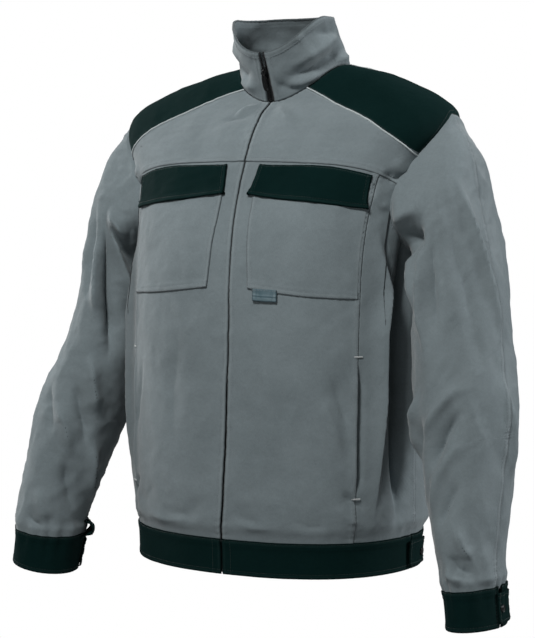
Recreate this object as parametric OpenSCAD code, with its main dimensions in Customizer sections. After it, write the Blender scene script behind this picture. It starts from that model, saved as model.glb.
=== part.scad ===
// Work jacket in woven cloth with contrast shoulders, flaps, cuffs and hem.
// Frame: origin at the centre of the neck seam, +Z up, front faces -Y,
// the wearer's left is +X. Millimetres.

/* [Cloth] */
// Thickness of one cloth panel
cloth = 1.5; // [1:0.1:2.5]
// Gap left at a seam, on each side of it
seam_gap = 1.0; // [0.6:0.1:1.5]
// Radius of the cord piping
piping_r = 1.5; // [1:0.1:2.5]

/* [Body] */
// Half width at the chest
chest_half = 206; // [190:1:225]
// Half width at the shoulder points
shoulder_half = 240; // [220:1:260]
// Half width of the hem band
hem_half = 195; // [175:1:210]
// Height of the neck seam above the hem edge
body_len = 650; // [600:5:700]

/* [Collar] */
// Height of the stand collar at the front
collar_h = 64; // [50:1:75]
// Forward lean of the collar at the front
collar_lean = 24; // [10:1:35]

/* [Front] */
// Half gap between the two front edges below the collar
front_gap = 0.8; // [0.5:0.1:3]
// Half gap between the collar ends, where the slider runs
collar_gap = 7; // [6:0.5:10]

/* [Cuffs] */
// Where the slit of the left cuff is, in degrees round the sleeve from outside to front
vent_left = 6; // [-60:1:60]
// Where the slit of the right cuff is
vent_right = 215; // [150:1:290]

/* [Hidden] */
// z at side, z front, z back, half width, depth front, depth back, y centre, exponent
RINGS = [
 [-body_len, -body_len-2, -body_len+4, hem_half, 149, 126, 0, 2.3],
 [-605, -606, -600, hem_half+2, 151, 130, 0, 2.3],
 [-560, -562, -556, 203, 156, 136, 0, 2.3],
 [-450, -450, -446, 203, 156, 136, 2, 2.3],
 [-330, -330, -326, 204, 156, 138, 5, 2.3],
 [-225, -236, -220, chest_half, 150, 136, 10, 2.3],
 [-140, -165, -125, 216, 132, 132, 17, 2.3],
 [-62, -102, -34, shoulder_half, 108, 112, 24, 2.2],
 [-15, -68, 2, 154, 88, 88, 32, 2.1],
 [6, -44, 12, 76, 64, 62, 38, 2.0]];
// outer line x, y, z, inner line x, y, z, fore-and-aft radius of the left sleeve
SLEEVE = [
 [240, 24, -62, 206, 14, -238, 62],
 [277, 16, -116, 211, 14, -264, 80],
 [303, 4, -210, 213, 2, -312, 82],
 [335, -14, -330, 214, -12, -372, 77],
 [358, -44, -460, 240, -44, -482, 68],
 [361, -80, -600, 281, -78, -612, 55],
 [362, -86, -640, 294, -86, -648, 50],
 [367, -92, -690, 300, -92, -696, 46]];
// the same for the right sleeve, mirrored when drawn; it hangs a little closer and higher
SLEEVE_R = [
 [240, 24, -62, 206, 14, -238, 62],
 [270, 14, -116, 211, 14, -264, 79],
 [285, 5, -210, 213, 2, -312, 80],
 [309, -12, -330, 214, -12, -372, 76],
 [349, -44, -455, 238, -44, -478, 68],
 [364, -80, -586, 274, -78, -600, 56],
 [366, -86, -624, 279, -86, -636, 51],
 [368, -92, -671, 286, -92, -688, 48]];
function cr4(a,b,c,d,f) = 0.5*(2*b+(c-a)*f+(2*a-5*b+4*c-d)*f*f+(3*b-a-3*c+d)*f*f*f);
function row(M,t) = let(n=len(M)-1, s=min(max(t,0),n-0.000001), i=floor(s), f=s-i)
  cr4(M[max(i-1,0)], M[i], M[i+1], M[min(i+2,n)], f);
function unit(v) = v/norm(v);
// point of the body surface, a in degrees from the front, t from hem (0) to neck (9)
function P(a,t) = let(r=row(RINGS,t), s=sin(a), c=cos(a),
  k=pow(pow(abs(s),r[7])+pow(abs(c),r[7]),-1/r[7]), w=pow(c*k,2))
  [r[3]*s*k, r[6]-(c>0?r[4]:r[5])*c*k, r[0]+((c>0?r[1]:r[2])-r[0])*w];
// point of the collar surface, a in degrees, u from seam (0) to top (1)
function C(a,u) = let(s=sin(a), c=cos(a), wf=pow(max(c,0),2), wb=pow(max(-c,0),2), ws=s*s)
  P(a,9) + u*(wf*[0,-collar_lean,collar_h]+wb*[0,-38,60]+ws*[-8*sign(s),-36,62]);
// armhole loop, f = 0 at the top, 90 at the front, 180 under the arm
function AH(f) = P(92-29*sin(f)*(1-0.3*cos(f)), 5.95+1.05*cos(f));
// the armhole as a point of the body surface's own grid
function ah(f) = [92-29*sin(f)*(1-0.3*cos(f)), 5.95+1.05*cos(f)];
function sst(x) = let(c=min(max(x,0),1)) c*c*(3-2*c);
function ring(r,f) = let(o=[r[0],r[1],r[2]], i=[r[3],r[4],r[5]]) (o+i)/2+(o-i)/2*cos(f)+[0,-r[6]*sin(f),0];
// how far the sleeve stands off the body just under the arm
function lift(f,t) = 6*sst(t/0.12)*(1-sst((t-0.3)/1.5))*sqrt(max(0,-cos(f)))*[0.9,-0.5*sin(f),0];
// point of a sleeve, f = 0 outward, 90 front, 180 inner, t from armhole (0) to cuff edge (7)
function S(f,t,M=SLEEVE) = ring(row(M,t),f)+(AH(f)-ring(M[0],f))*(1-sst(t/1.2))+lift(f,t);
function surf(k,a,b) = k==0 ? P(a,b) : k==1 ? C(a,b) : k==2 ? S(a,b) : S(a,b,SLEEVE_R);
function nrm(k,a,b) = let(e=(k==1?0.05:0.02), q=(k==0?min(max(b,e),9-e):b))
  unit(cross(surf(k,a+1,q)-surf(k,a-1,q), surf(k,a,q+e)-surf(k,a,q-e)));
function at(L,u) = let(n=len(L)-1, s=u*n, i=min(floor(s),n-1), f=s-i) L[i]*(1-f)+L[i+1]*f;
function coons(B,T,L,R,u,v) = (1-v)*at(B,u)+v*at(T,u)+(1-u)*at(L,v)+u*at(R,v)
  -(1-u)*(1-v)*B[0]-u*(1-v)*B[len(B)-1]-(1-u)*v*T[0]-u*v*T[len(T)-1];
// closed thin shell through a grid of outer and inner points
module shell(O,I) {
  m=len(O)-1; n=len(O[0])-1; w=n+1; q=(m+1)*w;
  pts=concat([for(r=O) for(p=r) p],[for(r=I) for(p=r) p]);
  f=concat(
   [for(i=[0:m-1],j=[0:n-1]) each [[i*w+j,(i+1)*w+j+1,(i+1)*w+j],[i*w+j,i*w+j+1,(i+1)*w+j+1]]],
   [for(i=[0:m-1],j=[0:n-1]) each [[q+i*w+j,q+(i+1)*w+j,q+(i+1)*w+j+1],[q+i*w+j,q+(i+1)*w+j+1,q+i*w+j+1]]],
   [for(i=[0:m-1]) each [[i*w,(i+1)*w,q+(i+1)*w],[i*w,q+(i+1)*w,q+i*w],
     [i*w+n,q+i*w+n,q+(i+1)*w+n],[i*w+n,q+(i+1)*w+n,(i+1)*w+n]]],
   [for(j=[0:n-1]) each [[j,q+j,q+j+1],[j,q+j+1,j+1],
     [m*w+j,m*w+j+1,q+m*w+j+1],[m*w+j,q+m*w+j+1,q+m*w+j]]]);
  polyhedron(pts,f,convexity=10);
}
// cloth panel inside four boundary lines of surface k, between two distances off it
module panel(k,B,T,L,R,nu,nv,lo=-cloth/2,hi=cloth/2,gu=0,gv=0) {
  cu=norm(surf(k,at(B,0.5)[0],at(B,0.5)[1])-surf(k,at(B,0.4)[0],at(B,0.4)[1]))*10;
  cv=norm(surf(k,at(L,0.5)[0],at(L,0.5)[1])-surf(k,at(L,0.4)[0],at(L,0.4)[1]))*10;
  eu=(gu+seam_gap)/cu; ev=(gv+seam_gap)/cv;
  uv=[for(i=[0:nu]) [for(j=[0:nv]) coons(B,T,L,R,eu+(1-2*eu)*i/nu,ev+(1-2*ev)*j/nv)]];
  g=[for(r=uv) [for(p=r) surf(k,p[0],p[1])]];
  h=[for(r=uv) [for(p=r) nrm(k,p[0],p[1])]];
  shell([for(i=[0:nu]) [for(j=[0:nv]) g[i][j]+h[i][j]*hi]],[for(i=[0:nu]) [for(j=[0:nv]) g[i][j]+h[i][j]*lo]]);
}
// same, for a plain rectangle of the surface's own grid
module rect(k,a0,a1,b0,b1,nu,nv,lo=-cloth/2,hi=cloth/2)
  panel(k,[[a0,b0],[a1,b0]],[[a0,b1],[a1,b1]],[[a0,b0],[a0,b1]],[[a1,b0],[a1,b1]],nu,nv,lo,hi);
// round cord through points
module cord(pts,r,ns=6) {
  n=len(pts)-1;
  t=[for(i=[0:n]) unit(pts[min(i+1,n)]-pts[max(i-1,0)])];
  g=[for(i=[0:n]) let(a=unit(cross(t[i],[0.3,-0.9,0.2])),b=cross(t[i],a)) [for(j=[0:ns-1]) pts[i]+r*(a*cos(360*j/ns)+b*sin(360*j/ns))]];
  polyhedron([for(q=g) for(p=q) p], concat(
   [for(i=[0:n-1],j=[0:ns-1]) each [[i*ns+j,i*ns+(j+1)%ns,(i+1)*ns+(j+1)%ns],[i*ns+j,(i+1)*ns+(j+1)%ns,(i+1)*ns+j]]],
   [for(j=[1:ns-2]) each [[0,j+1,j],[n*ns,n*ns+j,n*ns+j+1]]]),convexity=10);
}
module left() { children(); }
module right() { mirror([1,0,0]) children(); }
// seam lines on the body surface
function yoke_t(a) = 6.65-0.45*pow(a/50,2);
seam_a = 52.7;
side_a = 89;
yoke_end = 65;
fyoke = [for(i=[0:8]) let(a=0.45+(yoke_end-0.45)*i/8) [a,yoke_t(a)]];
PIPE = [[70,6.32],[64,6.42],[58.5,6.55],[52,6.74],[46,7.0],[43,7.3],[41.5,7.6],[40,8.0],[38.8,8.4],[37.5,9]];
PIPEB = [[111,6.5],[118,6.62],[124,6.8],[130,7.05],[134,7.3],[137,7.6],[139.5,8.0],[141,8.4],[142.5,9]];
byoke_half = [for(i=[0:6]) let(a=121+(180-121)*i/6) [a, 5.95+0.4*sin((a-121)/59*90)]];
function mir(L) = [for(i=[len(L)-1:-1:0]) [360-L[i][0],L[i][1]]];
module front_panel_s() panel(0,[for(i=[0:6]) [0.35+(seam_a-0.35)*i/6,1]],
  [for(i=[0:6]) let(a=0.45+(seam_a-0.45)*i/6) [a,yoke_t(a)]],[[0.35,1],[0.4,4],[0.45,yoke_t(0.45)]],
  [[seam_a,1],[seam_a,yoke_t(seam_a)]],8,12);
module side_panel_s() panel(0,[for(i=[0:4]) [seam_a+(side_a-seam_a)*i/4,1]],
  concat([[seam_a,yoke_t(seam_a)],[58,yoke_t(58)],[63.2,5.93]],[for(i=[1:6]) ah(90+i*15)],[ [side_a+0.6,4.905] ]),
  [[seam_a,1],[seam_a,yoke_t(seam_a)]],[[side_a,1],[side_a+0.6,4.905]],9,12);
module front_yoke_s() panel(0,fyoke,[for(i=[0:4]) [0.8+(37.5-0.8)*i/4,9]],[[0.45,yoke_t(0.45)],[0.5,7.5],[0.8,9]],
  concat([[yoke_end,yoke_t(yoke_end)]],[for(i=[0:9]) PIPE[i]]),8,10);
module shoulder_s() panel(0,[for(i=[0:8]) let(f=68-i*(68+58)/8) ah(f)],
  [for(i=[0:8]) [37.5+(142.5-37.5)*i/8,9]],[for(i=[0:9]) PIPE[i]],[for(i=[0:8]) PIPEB[i]],14,8,gv=0.6);
module pocket_s() panel(0,[[10,4.45],[30,4.34],[51.9,4.3]],[[6.6,6.3],[30,6.18],[51.9,6.0]],
  [[10,4.45],[7,5.6],[6.6,6.3]],[[51.9,4.3],[51.9,6.0]],8,6,1.6,2.8);
module flap_s() panel(0,[[5.2,5.98],[28,5.78],[51.2,5.56]],[[6.2,6.56],[28,6.45],[49.6,6.13]],
  [[5.2,5.98],[6.2,6.56]],[[51.2,5.56],[49.6,6.13]],8,3,3.8,5.4);
module sleeve_s(k,f0,f1,t0,t1,nu,nv) panel(k,[[f0,t0],[f1,t0]],[[f0,t1],[f1,t1]],[[f0,t0],[f0,t1]],[[f1,t0],[f1,t1]],nu,nv,gv=(t0<1?1.9:0));
module cuff_s(k,v) rect(k,v+4,v+356,6.0,7,24,2,-0.6,2.0);
module cuff_tab_s(k,f0,f1) rect(k,f0,f1,6.15,6.88,5,2,3.4,5.0);
module waist_tab_s() panel(0,[[86,0.16],[104,0.16]],[[86,0.86],[104,0.86]],[[86,0.16],[86,0.86]],[[104,0.16],[104,0.86]],5,2,4.6,6.2);
module bag_s() panel(0,[[18,1.3],[51,1.3]],[[24,3.1],[51,3.9]],[[18,1.3],[20,2.4],[24,3.1]],[[51,1.3],[51,3.9]],6,6,-6.4,-5.4);
module facing_s() panel(0,[[0.35,1],[14,1]],[[0.8,9],[30,9]],[[0.35,1],[0.45,6.65],[0.8,9]],[[14,1],[14,5],[17,6.6],[22,8],[30,9]],3,18,-3.4,-2.2);
module tape_s() panel(0,[[2.2,0.25],[6,0.25]],[[4.6,8.9],[14,8.9]],[[2.2,0.25],[2.8,6.65],[4.6,8.9]],[[6,0.25],[7,6.65],[14,8.9]],3,18,-7.0,-6.2);
module hem_front_s() rect(0,0.35,side_a,0,1,12,2,-0.6,2.0);

// Piece to show

grey=[0.43,0.47,0.49]; black=[0.09,0.13,0.13]; lining=[0.14,0.17,0.17]; dark=[0.05,0.06,0.06]; cordc=[0.72,0.75,0.76];

module front_panel_left() color(grey) left() front_panel_s();
module front_panel_right() color(grey) right() front_panel_s();
module side_panel_left() color(grey) left() side_panel_s();
module side_panel_right() color(grey) right() side_panel_s();
back_top = concat([[side_a+0.6,4.905]],[for(i=[1:6]) ah(180+i*15)],[for(i=[1:6]) byoke_half[i]]);
module back_panel() color(grey) panel(0,[for(i=[0:10]) [side_a+(360-2*side_a)*i/10,1]],
  concat(back_top,[for(i=[1:12]) mir(back_top)[i]]),[[side_a,1],[side_a+0.6,4.905]],
  [[360-side_a,1],[359.4-side_a,4.905]],30,12);
// the yoke over the shoulder blades, between the two shoulder panels
byl = [for(i=[0:6]) byoke_half[i]];
module back_yoke() color(grey) panel(0,concat(byl,[for(i=[1:6]) mir(byl)[i]]),[for(i=[0:4]) [142.5+75*i/4,9]],
  concat([[121,5.95],[116.5,6.22]],[for(i=[0:8]) PIPEB[i]]),concat([[239,5.95],[243.5,6.22]],[for(i=[0:8]) [360-PIPEB[i][0],PIPEB[i][1]]]),14,9);
module front_yoke_left() color(grey) left() front_yoke_s();
module front_yoke_right() color(grey) right() front_yoke_s();
module shoulder_panel_left() color(black) left() shoulder_s();
module shoulder_panel_right() color(black) right() shoulder_s();
module pipe_line(L) cord([for(i=[0:14]) let(q=at(L,0.06+0.92*i/14)) P(q[0],q[1])+nrm(0,q[0],q[1])*(piping_r+1.3)],piping_r);
module piping_front_left() color(cordc) left() pipe_line(PIPE);
module piping_front_right() color(cordc) right() pipe_line(PIPE);
module piping_back_left() color(cordc) left() pipe_line(PIPEB);
module piping_back_right() color(cordc) right() pipe_line(PIPEB);
module collar_ring(lo,hi,v0) { ca=asin(collar_gap/76)+1; rect(1,ca,360-ca,v0,1,36,3,lo,hi); }
module collar_outer() color(grey) collar_ring(0,1.6,0.01);
module collar_lining() color(lining) collar_ring(-2.6,-1.2,0.01);
module front_facing_left() color(lining) left() facing_s();
module front_facing_right() color(lining) right() facing_s();
module zip_tape_left() color(dark) left() tape_s();
module zip_tape_right() color(dark) right() tape_s();
module zip_chain() color(dark) panel(0,[[-0.7,0.35],[0.7,0.35]],[[-2,8.8],[2,8.8]],[[-0.7,0.35],[-2,8.8]],[[0.7,0.35],[2,8.8]],1,24,-10.2,-8.4);
module zip_box() color(dark) panel(0,[[-1.6,0.06],[1.6,0.06]],[[-1.6,0.3],[1.6,0.3]],[[-1.6,0.06],[-1.6,0.3]],[[1.6,0.06],[1.6,0.3]],2,1,-10.8,-8);
// the zip runs up the middle of the collar along this line
zdir = unit([0,-collar_lean,collar_h]);
zpos = P(0,9) + 0.62*[0,-collar_lean,collar_h];
zlean = atan2(collar_lean,collar_h);
module teeth() for(s=[1]) translate(P(0,9)+[0,0,0]+0.5*[0,-collar_lean,collar_h]) rotate([zlean,0,0]) translate([4.7,-0.6,-30]) cube([1.6,1.8,60]);
module zip_teeth_left() color(dark) left() teeth();
module zip_teeth_right() color(dark) right() teeth();
module zip_slider() color(dark) translate(zpos) rotate([zlean,0,0]) {
  translate([-4,-2.6,-5.5]) cube([8,1.2,11]);
  translate([-4,1.4,-5.5]) cube([8,1.2,11]);
  translate([-1.2,-2.6,0.5]) cube([2.4,5.2,4]);
  translate([-1.2,-5.2,-0.6]) difference() { cube([2.4,3.2,4.2]); translate([-1,1.3,1.0]) cube([5,1.2,2.2]); }
}
module zip_pull() color(dark) translate(zpos) rotate([zlean,0,0]) translate([0,-3.3,1.5]) {
  translate([-3.2,-4.1,-3.8]) cube([6.4,1.1,4.4]);
  for(s=[-1,1]) translate([s*2.5-0.7,-3.4,-0.6]) cube([1.4,3.6,1.2]);
  translate([-2.6,-0.4,-0.4]) cube([5.2,0.8,0.8]);
  translate([-3.6,-4.4,-26]) cube([7.2,1.7,22.6]);
}
module chest_pocket_left() color(grey) left() pocket_s();
module chest_pocket_right() color(grey) right() pocket_s();
module pocket_flap_left() color(black) left() flap_s();
module pocket_flap_right() color(black) right() flap_s();
module pocket_label() color(lining) panel(0,[[13,4.29],[22,4.26]],[[12.6,4.46],[21.8,4.43]],[[13,4.29],[12.6,4.46]],[[22,4.26],[21.8,4.43]],3,1,3.4,4.2);
module hand_pocket_bag_left() color(lining) left() bag_s();
module hand_pocket_bag_right() color(lining) right() bag_s();
module bartack(t) rect(0,seam_a-2,seam_a+2,t-0.02,t+0.02,2,1,1.2,2.2);
module bartack_upper_left() color(cordc) left() bartack(3.67);
module bartack_lower_left() color(cordc) left() bartack(2.14);
module bartack_upper_right() color(cordc) right() bartack(3.67);
module bartack_lower_right() color(cordc) right() bartack(2.14);
module hem_band_front_left() color(black) left() hem_front_s();
module hem_band_front_right() color(black) right() hem_front_s();
module hem_band_back() color(black) rect(0,side_a,360-side_a,0,1,24,2,-0.6,2.0);
module waist_tab_left() color(black) left() waist_tab_s();
module waist_tab_right() color(black) right() waist_tab_s();
module stud(a,t) { p=P(a,t); n=nrm(0,a,t); translate(p+n*2.4) rotate([0,90,atan2(n[1],n[0])]) cylinder(r=5,h=1.6,$fn=24); }
module waist_stud_left() color(dark) left() stud(100,0.5);
module waist_stud_right() color(dark) right() stud(100,0.5);
module hanger_loop() color(black) { p=P(180,8.9);
  translate(p+[0,-8.1,-4]) { difference() { translate([-38,-1.4,-14]) cube([76,1.4,14]); translate([-30,-3,-8]) cube([60,6,8.6]); } 
    translate([-38,-1.4,-0.1]) cube([8.05,1.4,2]); translate([29.95,-1.4,-0.1]) cube([8.05,1.4,2]); } }
module neck_label() color(lining) panel(0,[[162,8.15],[198,8.15]],[[160,8.75],[200,8.75]],[[162,8.15],[160,8.75]],[[198,8.15],[200,8.75]],4,2,-3.0,-2.0);
module upper_sleeve_front_left() color(grey) left() sleeve_s(2,6,186,0.05,4,14,9);
module upper_sleeve_front_right() color(grey) right() sleeve_s(3,20,215,0.05,4,14,9);
module upper_sleeve_back_left() color(grey) left() sleeve_s(2,186,366,0.05,4,14,9);
module upper_sleeve_back_right() color(grey) right() sleeve_s(3,215,380,0.05,4,14,9);
module forearm_front_left() color(grey) left() sleeve_s(2,6,186,4,6,14,5);
module forearm_front_right() color(grey) right() sleeve_s(3,20,215,4,6,14,5);
module forearm_back_left() color(grey) left() sleeve_s(2,186,366,4,6,14,5);
module forearm_back_right() color(grey) right() sleeve_s(3,215,380,4,6,14,5);
module cuff_left() color(black) left() cuff_s(2,vent_left);
module cuff_right() color(black) right() cuff_s(3,vent_right);
module cuff_tab_left() color(black) left() cuff_tab_s(2,vent_left-36,vent_left+8);
module cuff_tab_right() color(black) right() cuff_tab_s(3,vent_right-8,vent_right+36);

front_panel_left();
front_panel_right();
side_panel_left();
side_panel_right();
back_panel();
back_yoke();
front_yoke_left();
front_yoke_right();
shoulder_panel_left();
shoulder_panel_right();
piping_front_left();
piping_front_right();
piping_back_left();
piping_back_right();
collar_outer();
collar_lining();
front_facing_left();
front_facing_right();
zip_tape_left();
zip_tape_right();
zip_chain();
zip_teeth_left();
zip_teeth_right();
zip_box();
zip_slider();
zip_pull();
chest_pocket_left();
chest_pocket_right();
pocket_flap_left();
pocket_flap_right();
pocket_label();
hand_pocket_bag_left();
hand_pocket_bag_right();
bartack_upper_left();
bartack_lower_left();
bartack_upper_right();
bartack_lower_right();
hem_band_front_left();
hem_band_front_right();
hem_band_back();
waist_tab_left();
waist_tab_right();
waist_stud_left();
waist_stud_right();
hanger_loop();
neck_label();
upper_sleeve_front_left();
upper_sleeve_front_right();
upper_sleeve_back_left();
upper_sleeve_back_right();
forearm_front_left();
forearm_front_right();
forearm_back_left();
forearm_back_right();
cuff_left();
cuff_right();
cuff_tab_left();
cuff_tab_right();
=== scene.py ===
"""A hip-length work jacket in twill, with contrast shoulders, flaps, cuffs
and hem band.  Shapes are worked out in millimetres, as a pattern cutter
would, and go into the meshes in metres.  The origin is the centre of the
neck seam, +Z is up, the front faces -Y and the wearer's left is +X."""

import bpy
import numpy as np
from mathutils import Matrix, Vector


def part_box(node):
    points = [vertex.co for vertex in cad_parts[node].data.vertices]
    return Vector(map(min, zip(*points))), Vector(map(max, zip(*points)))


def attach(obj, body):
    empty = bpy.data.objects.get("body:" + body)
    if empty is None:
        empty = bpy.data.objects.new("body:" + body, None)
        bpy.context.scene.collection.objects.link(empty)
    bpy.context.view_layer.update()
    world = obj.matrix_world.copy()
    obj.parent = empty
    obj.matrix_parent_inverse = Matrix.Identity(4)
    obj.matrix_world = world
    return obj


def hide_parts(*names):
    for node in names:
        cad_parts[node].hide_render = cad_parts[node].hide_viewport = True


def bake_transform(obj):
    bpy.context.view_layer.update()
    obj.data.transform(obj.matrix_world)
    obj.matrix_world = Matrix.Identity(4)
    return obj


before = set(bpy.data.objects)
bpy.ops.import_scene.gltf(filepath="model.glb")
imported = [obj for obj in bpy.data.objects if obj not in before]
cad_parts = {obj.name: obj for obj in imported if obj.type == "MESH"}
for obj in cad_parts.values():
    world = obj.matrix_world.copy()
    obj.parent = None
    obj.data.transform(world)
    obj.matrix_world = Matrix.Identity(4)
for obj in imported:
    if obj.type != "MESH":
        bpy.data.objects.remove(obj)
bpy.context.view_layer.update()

# Camera, floor and studio light.  A long lens at chest height looks at the
# jacket from the wearer's front left.  Four soft lamps light it: the key
# above in front, one behind the wearer's left, one level with the wearer's
# right side, and a weak one in front.  The room is dim but shows white, and
# a pale floor lies well under the cuffs.
SENSOR, TALL = 36, 638          # the sensor's long side in mm, the render's height
FOCAL = 2020 * SENSOR / TALL    # top to bottom, the lens sees TALL / 2020 of its distance
DISTANCE = 2700                 # mm, level
sight = np.radians(31.0)
to_right = np.array([np.cos(sight), np.sin(sight), 0.0])
eye = np.array([DISTANCE * np.sin(sight), -DISTANCE * np.cos(sight), -160.0])
aim = np.array([0.0, 0.0, -340.0])
nudge = -18 * to_right + np.array([0, 0, 8.0])
lens = bpy.data.cameras.new("camera")
lens.sensor_width = SENSOR
lens.lens = FOCAL
lens.clip_end = 60
camera = bpy.data.objects.new("camera", lens)
camera.location = (eye + nudge) / 1000
camera.rotation_mode = "QUATERNION"
camera.rotation_quaternion = Vector(aim - eye).to_track_quat("-Z", "Y")
bpy.context.scene.collection.objects.link(camera)
bpy.context.scene.camera = camera
bpy.context.scene.view_settings.view_transform = "Standard"


def softbox(name, place, target, size, watts, colour):
    """A square lamp at place, facing target, all in metres."""
    lamp = bpy.data.lights.new(name, "AREA")
    lamp.shape = "SQUARE"
    lamp.size = size
    lamp.energy = watts
    lamp.color = colour
    holder = bpy.data.objects.new(name, lamp)
    holder.location = place
    holder.rotation_mode = "QUATERNION"
    holder.rotation_quaternion = (Vector(target) - Vector(place)).to_track_quat("-Z", "Y")
    bpy.context.scene.collection.objects.link(holder)


softbox("key_lamp", (0.2, -1.8, 1.7), (0, 0, -0.25), 0.5, 57, (1.0, 0.995, 0.985))
softbox("side_lamp", (2.0, 1.3, 0.6), (0.2, 0, -0.35), 0.8, 46, (0.97, 0.985, 1.0))
softbox("far_lamp", (-2.2, 0.1, 0.5), (-0.2, 0, -0.35), 0.7, 34, (1.0, 1.0, 1.0))
softbox("front_lamp", (1.0, -3.3, 0.2), (0, 0, -0.4), 1.0, 6, (1.0, 1.0, 1.0))


def link(tree, source, target):
    """Joins two sockets of a node tree."""
    tree.links.new(source, target)


room = bpy.data.worlds.new("room")
bpy.context.scene.world = room
room.use_nodes = True
tree = room.node_tree
tree.nodes.clear()
output = tree.nodes.new("ShaderNodeOutputWorld")
lit, seen, mix, path = (tree.nodes.new(k) for k in (
    "ShaderNodeBackground", "ShaderNodeBackground", "ShaderNodeMixShader", "ShaderNodeLightPath"))
lit.inputs["Color"].default_value = (0.93, 0.97, 1.0, 1)
lit.inputs["Strength"].default_value = 0.055
seen.inputs["Color"].default_value = (1, 1, 1, 1)
seen.inputs["Strength"].default_value = 1.0
link(tree, path.outputs["Is Camera Ray"], mix.inputs["Fac"])
link(tree, lit.outputs[0], mix.inputs[1])
link(tree, seen.outputs[0], mix.inputs[2])
link(tree, mix.outputs[0], output.inputs["Surface"])

floor_mesh = bpy.data.meshes.new("floor")
ring = np.linspace(0, 2 * np.pi, 97)[:-1]
floor_mesh.from_pydata(
    np.stack([14 * np.cos(ring), 14 * np.sin(ring), np.full(96, -0.86)], -1), [], [list(range(96))])
floor = bpy.data.objects.new("floor", floor_mesh)
bpy.context.scene.collection.objects.link(floor)
paint = bpy.data.materials.new("floor_paint")
paint.use_nodes = True
tree = paint.node_tree
coat = tree.nodes["Principled BSDF"]
coat.inputs["Base Color"].default_value = (0.3, 0.3, 0.3, 1)
coat.inputs["Roughness"].default_value = 0.9
coat.inputs["Specular IOR Level"].default_value = 0.1
glow, veil, path = (tree.nodes.new(k) for k in ("ShaderNodeEmission", "ShaderNodeMixShader",
                                                "ShaderNodeLightPath"))
glow.inputs["Strength"].default_value = 1.0
link(tree, path.outputs["Is Camera Ray"], veil.inputs["Fac"])
link(tree, coat.outputs[0], veil.inputs[1])
link(tree, glow.outputs[0], veil.inputs[2])
link(tree, veil.outputs[0], tree.nodes["Material Output"].inputs["Surface"])
floor_mesh.materials.append(paint)

# Front panels.  Two panels of mid grey cotton and polyester twill, lined
# with thin plain cloth.  Their front edges are turned in and stitched down
# beside the zip, and they are felled to the side panels.
BODY = np.array([  # z side, front and back; half width; depths; middle; squareness
    [-650, -652, -646, 195, 149, 126, 0, 2.3],
    [-605, -606, -600, 197, 151, 130, 0, 2.3],
    [-560, -562, -556, 203, 156, 136, 0, 2.3],
    [-450, -450, -446, 203, 156, 136, 2, 2.3],
    [-330, -330, -326, 204, 156, 138, 5, 2.3],
    [-225, -236, -220, 206, 150, 136, 10, 2.3],
    [-140, -165, -125, 216, 132, 132, 17, 2.3],
    [-62, -102, -34, 240, 108, 112, 24, 2.2],
    [-15, -68, 2, 154, 88, 88, 32, 2.1],
    [6, -44, 12, 76, 64, 62, 38, 2.0]], float)


def rows_at(table, t):
    """A smooth (Catmull-Rom) curve through the rows of a table, at row t."""
    last = len(table) - 1
    t = np.clip(np.asarray(t, float), 0, last - 1e-6)
    i = np.floor(t).astype(int)
    f = (t - i)[..., None]
    a, b, c, d = (table[np.clip(i + k, 0, last)] for k in (-1, 0, 1, 2))
    return 0.5 * (2 * b + (c - a) * f + (2 * a - 5 * b + 4 * c - d) * f**2
                  + (3 * b - a - 3 * c + d) * f**3)


def smooth(x):
    """0 below 0, 1 above 1, and 3x^2 - 2x^3 between."""
    x = np.clip(x, 0, 1)
    return x * x * (3 - 2 * x)


def body_form(a, t):
    """Undraped body: at height row t a squarish ellipse (|x/half|^n +
    |y/depth|^n = 1), a degrees from the front towards the wearer's left."""
    a, t = np.broadcast_arrays(np.asarray(a, float), np.asarray(t, float))
    side, front, back, half, near, far, middle, n = np.moveaxis(rows_at(BODY, t), -1, 0)
    s, c = np.sin(np.radians(a)), np.cos(np.radians(a))
    k = (np.abs(s)**n + np.abs(c)**n)**(-1 / n)
    w = (c * k)**2
    return np.stack([half * s * k, middle - np.where(c > 0, near, far) * c * k,
                     side + (np.where(c > 0, front, back) - side) * w], -1)


def unit(v):
    """Vectors scaled to length one."""
    return v / np.maximum(np.linalg.norm(v, axis=-1, keepdims=True), 1e-9)


def facing(form, a, t, sign=1.0):
    """Outward direction of a form: the cross product of its two slopes."""
    across = form(a + 0.5, t) - form(a - 0.5, t)
    along = form(a, t + 0.02) - form(a, t - 0.02)
    return unit(np.cross(across, along)) * sign


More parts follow.
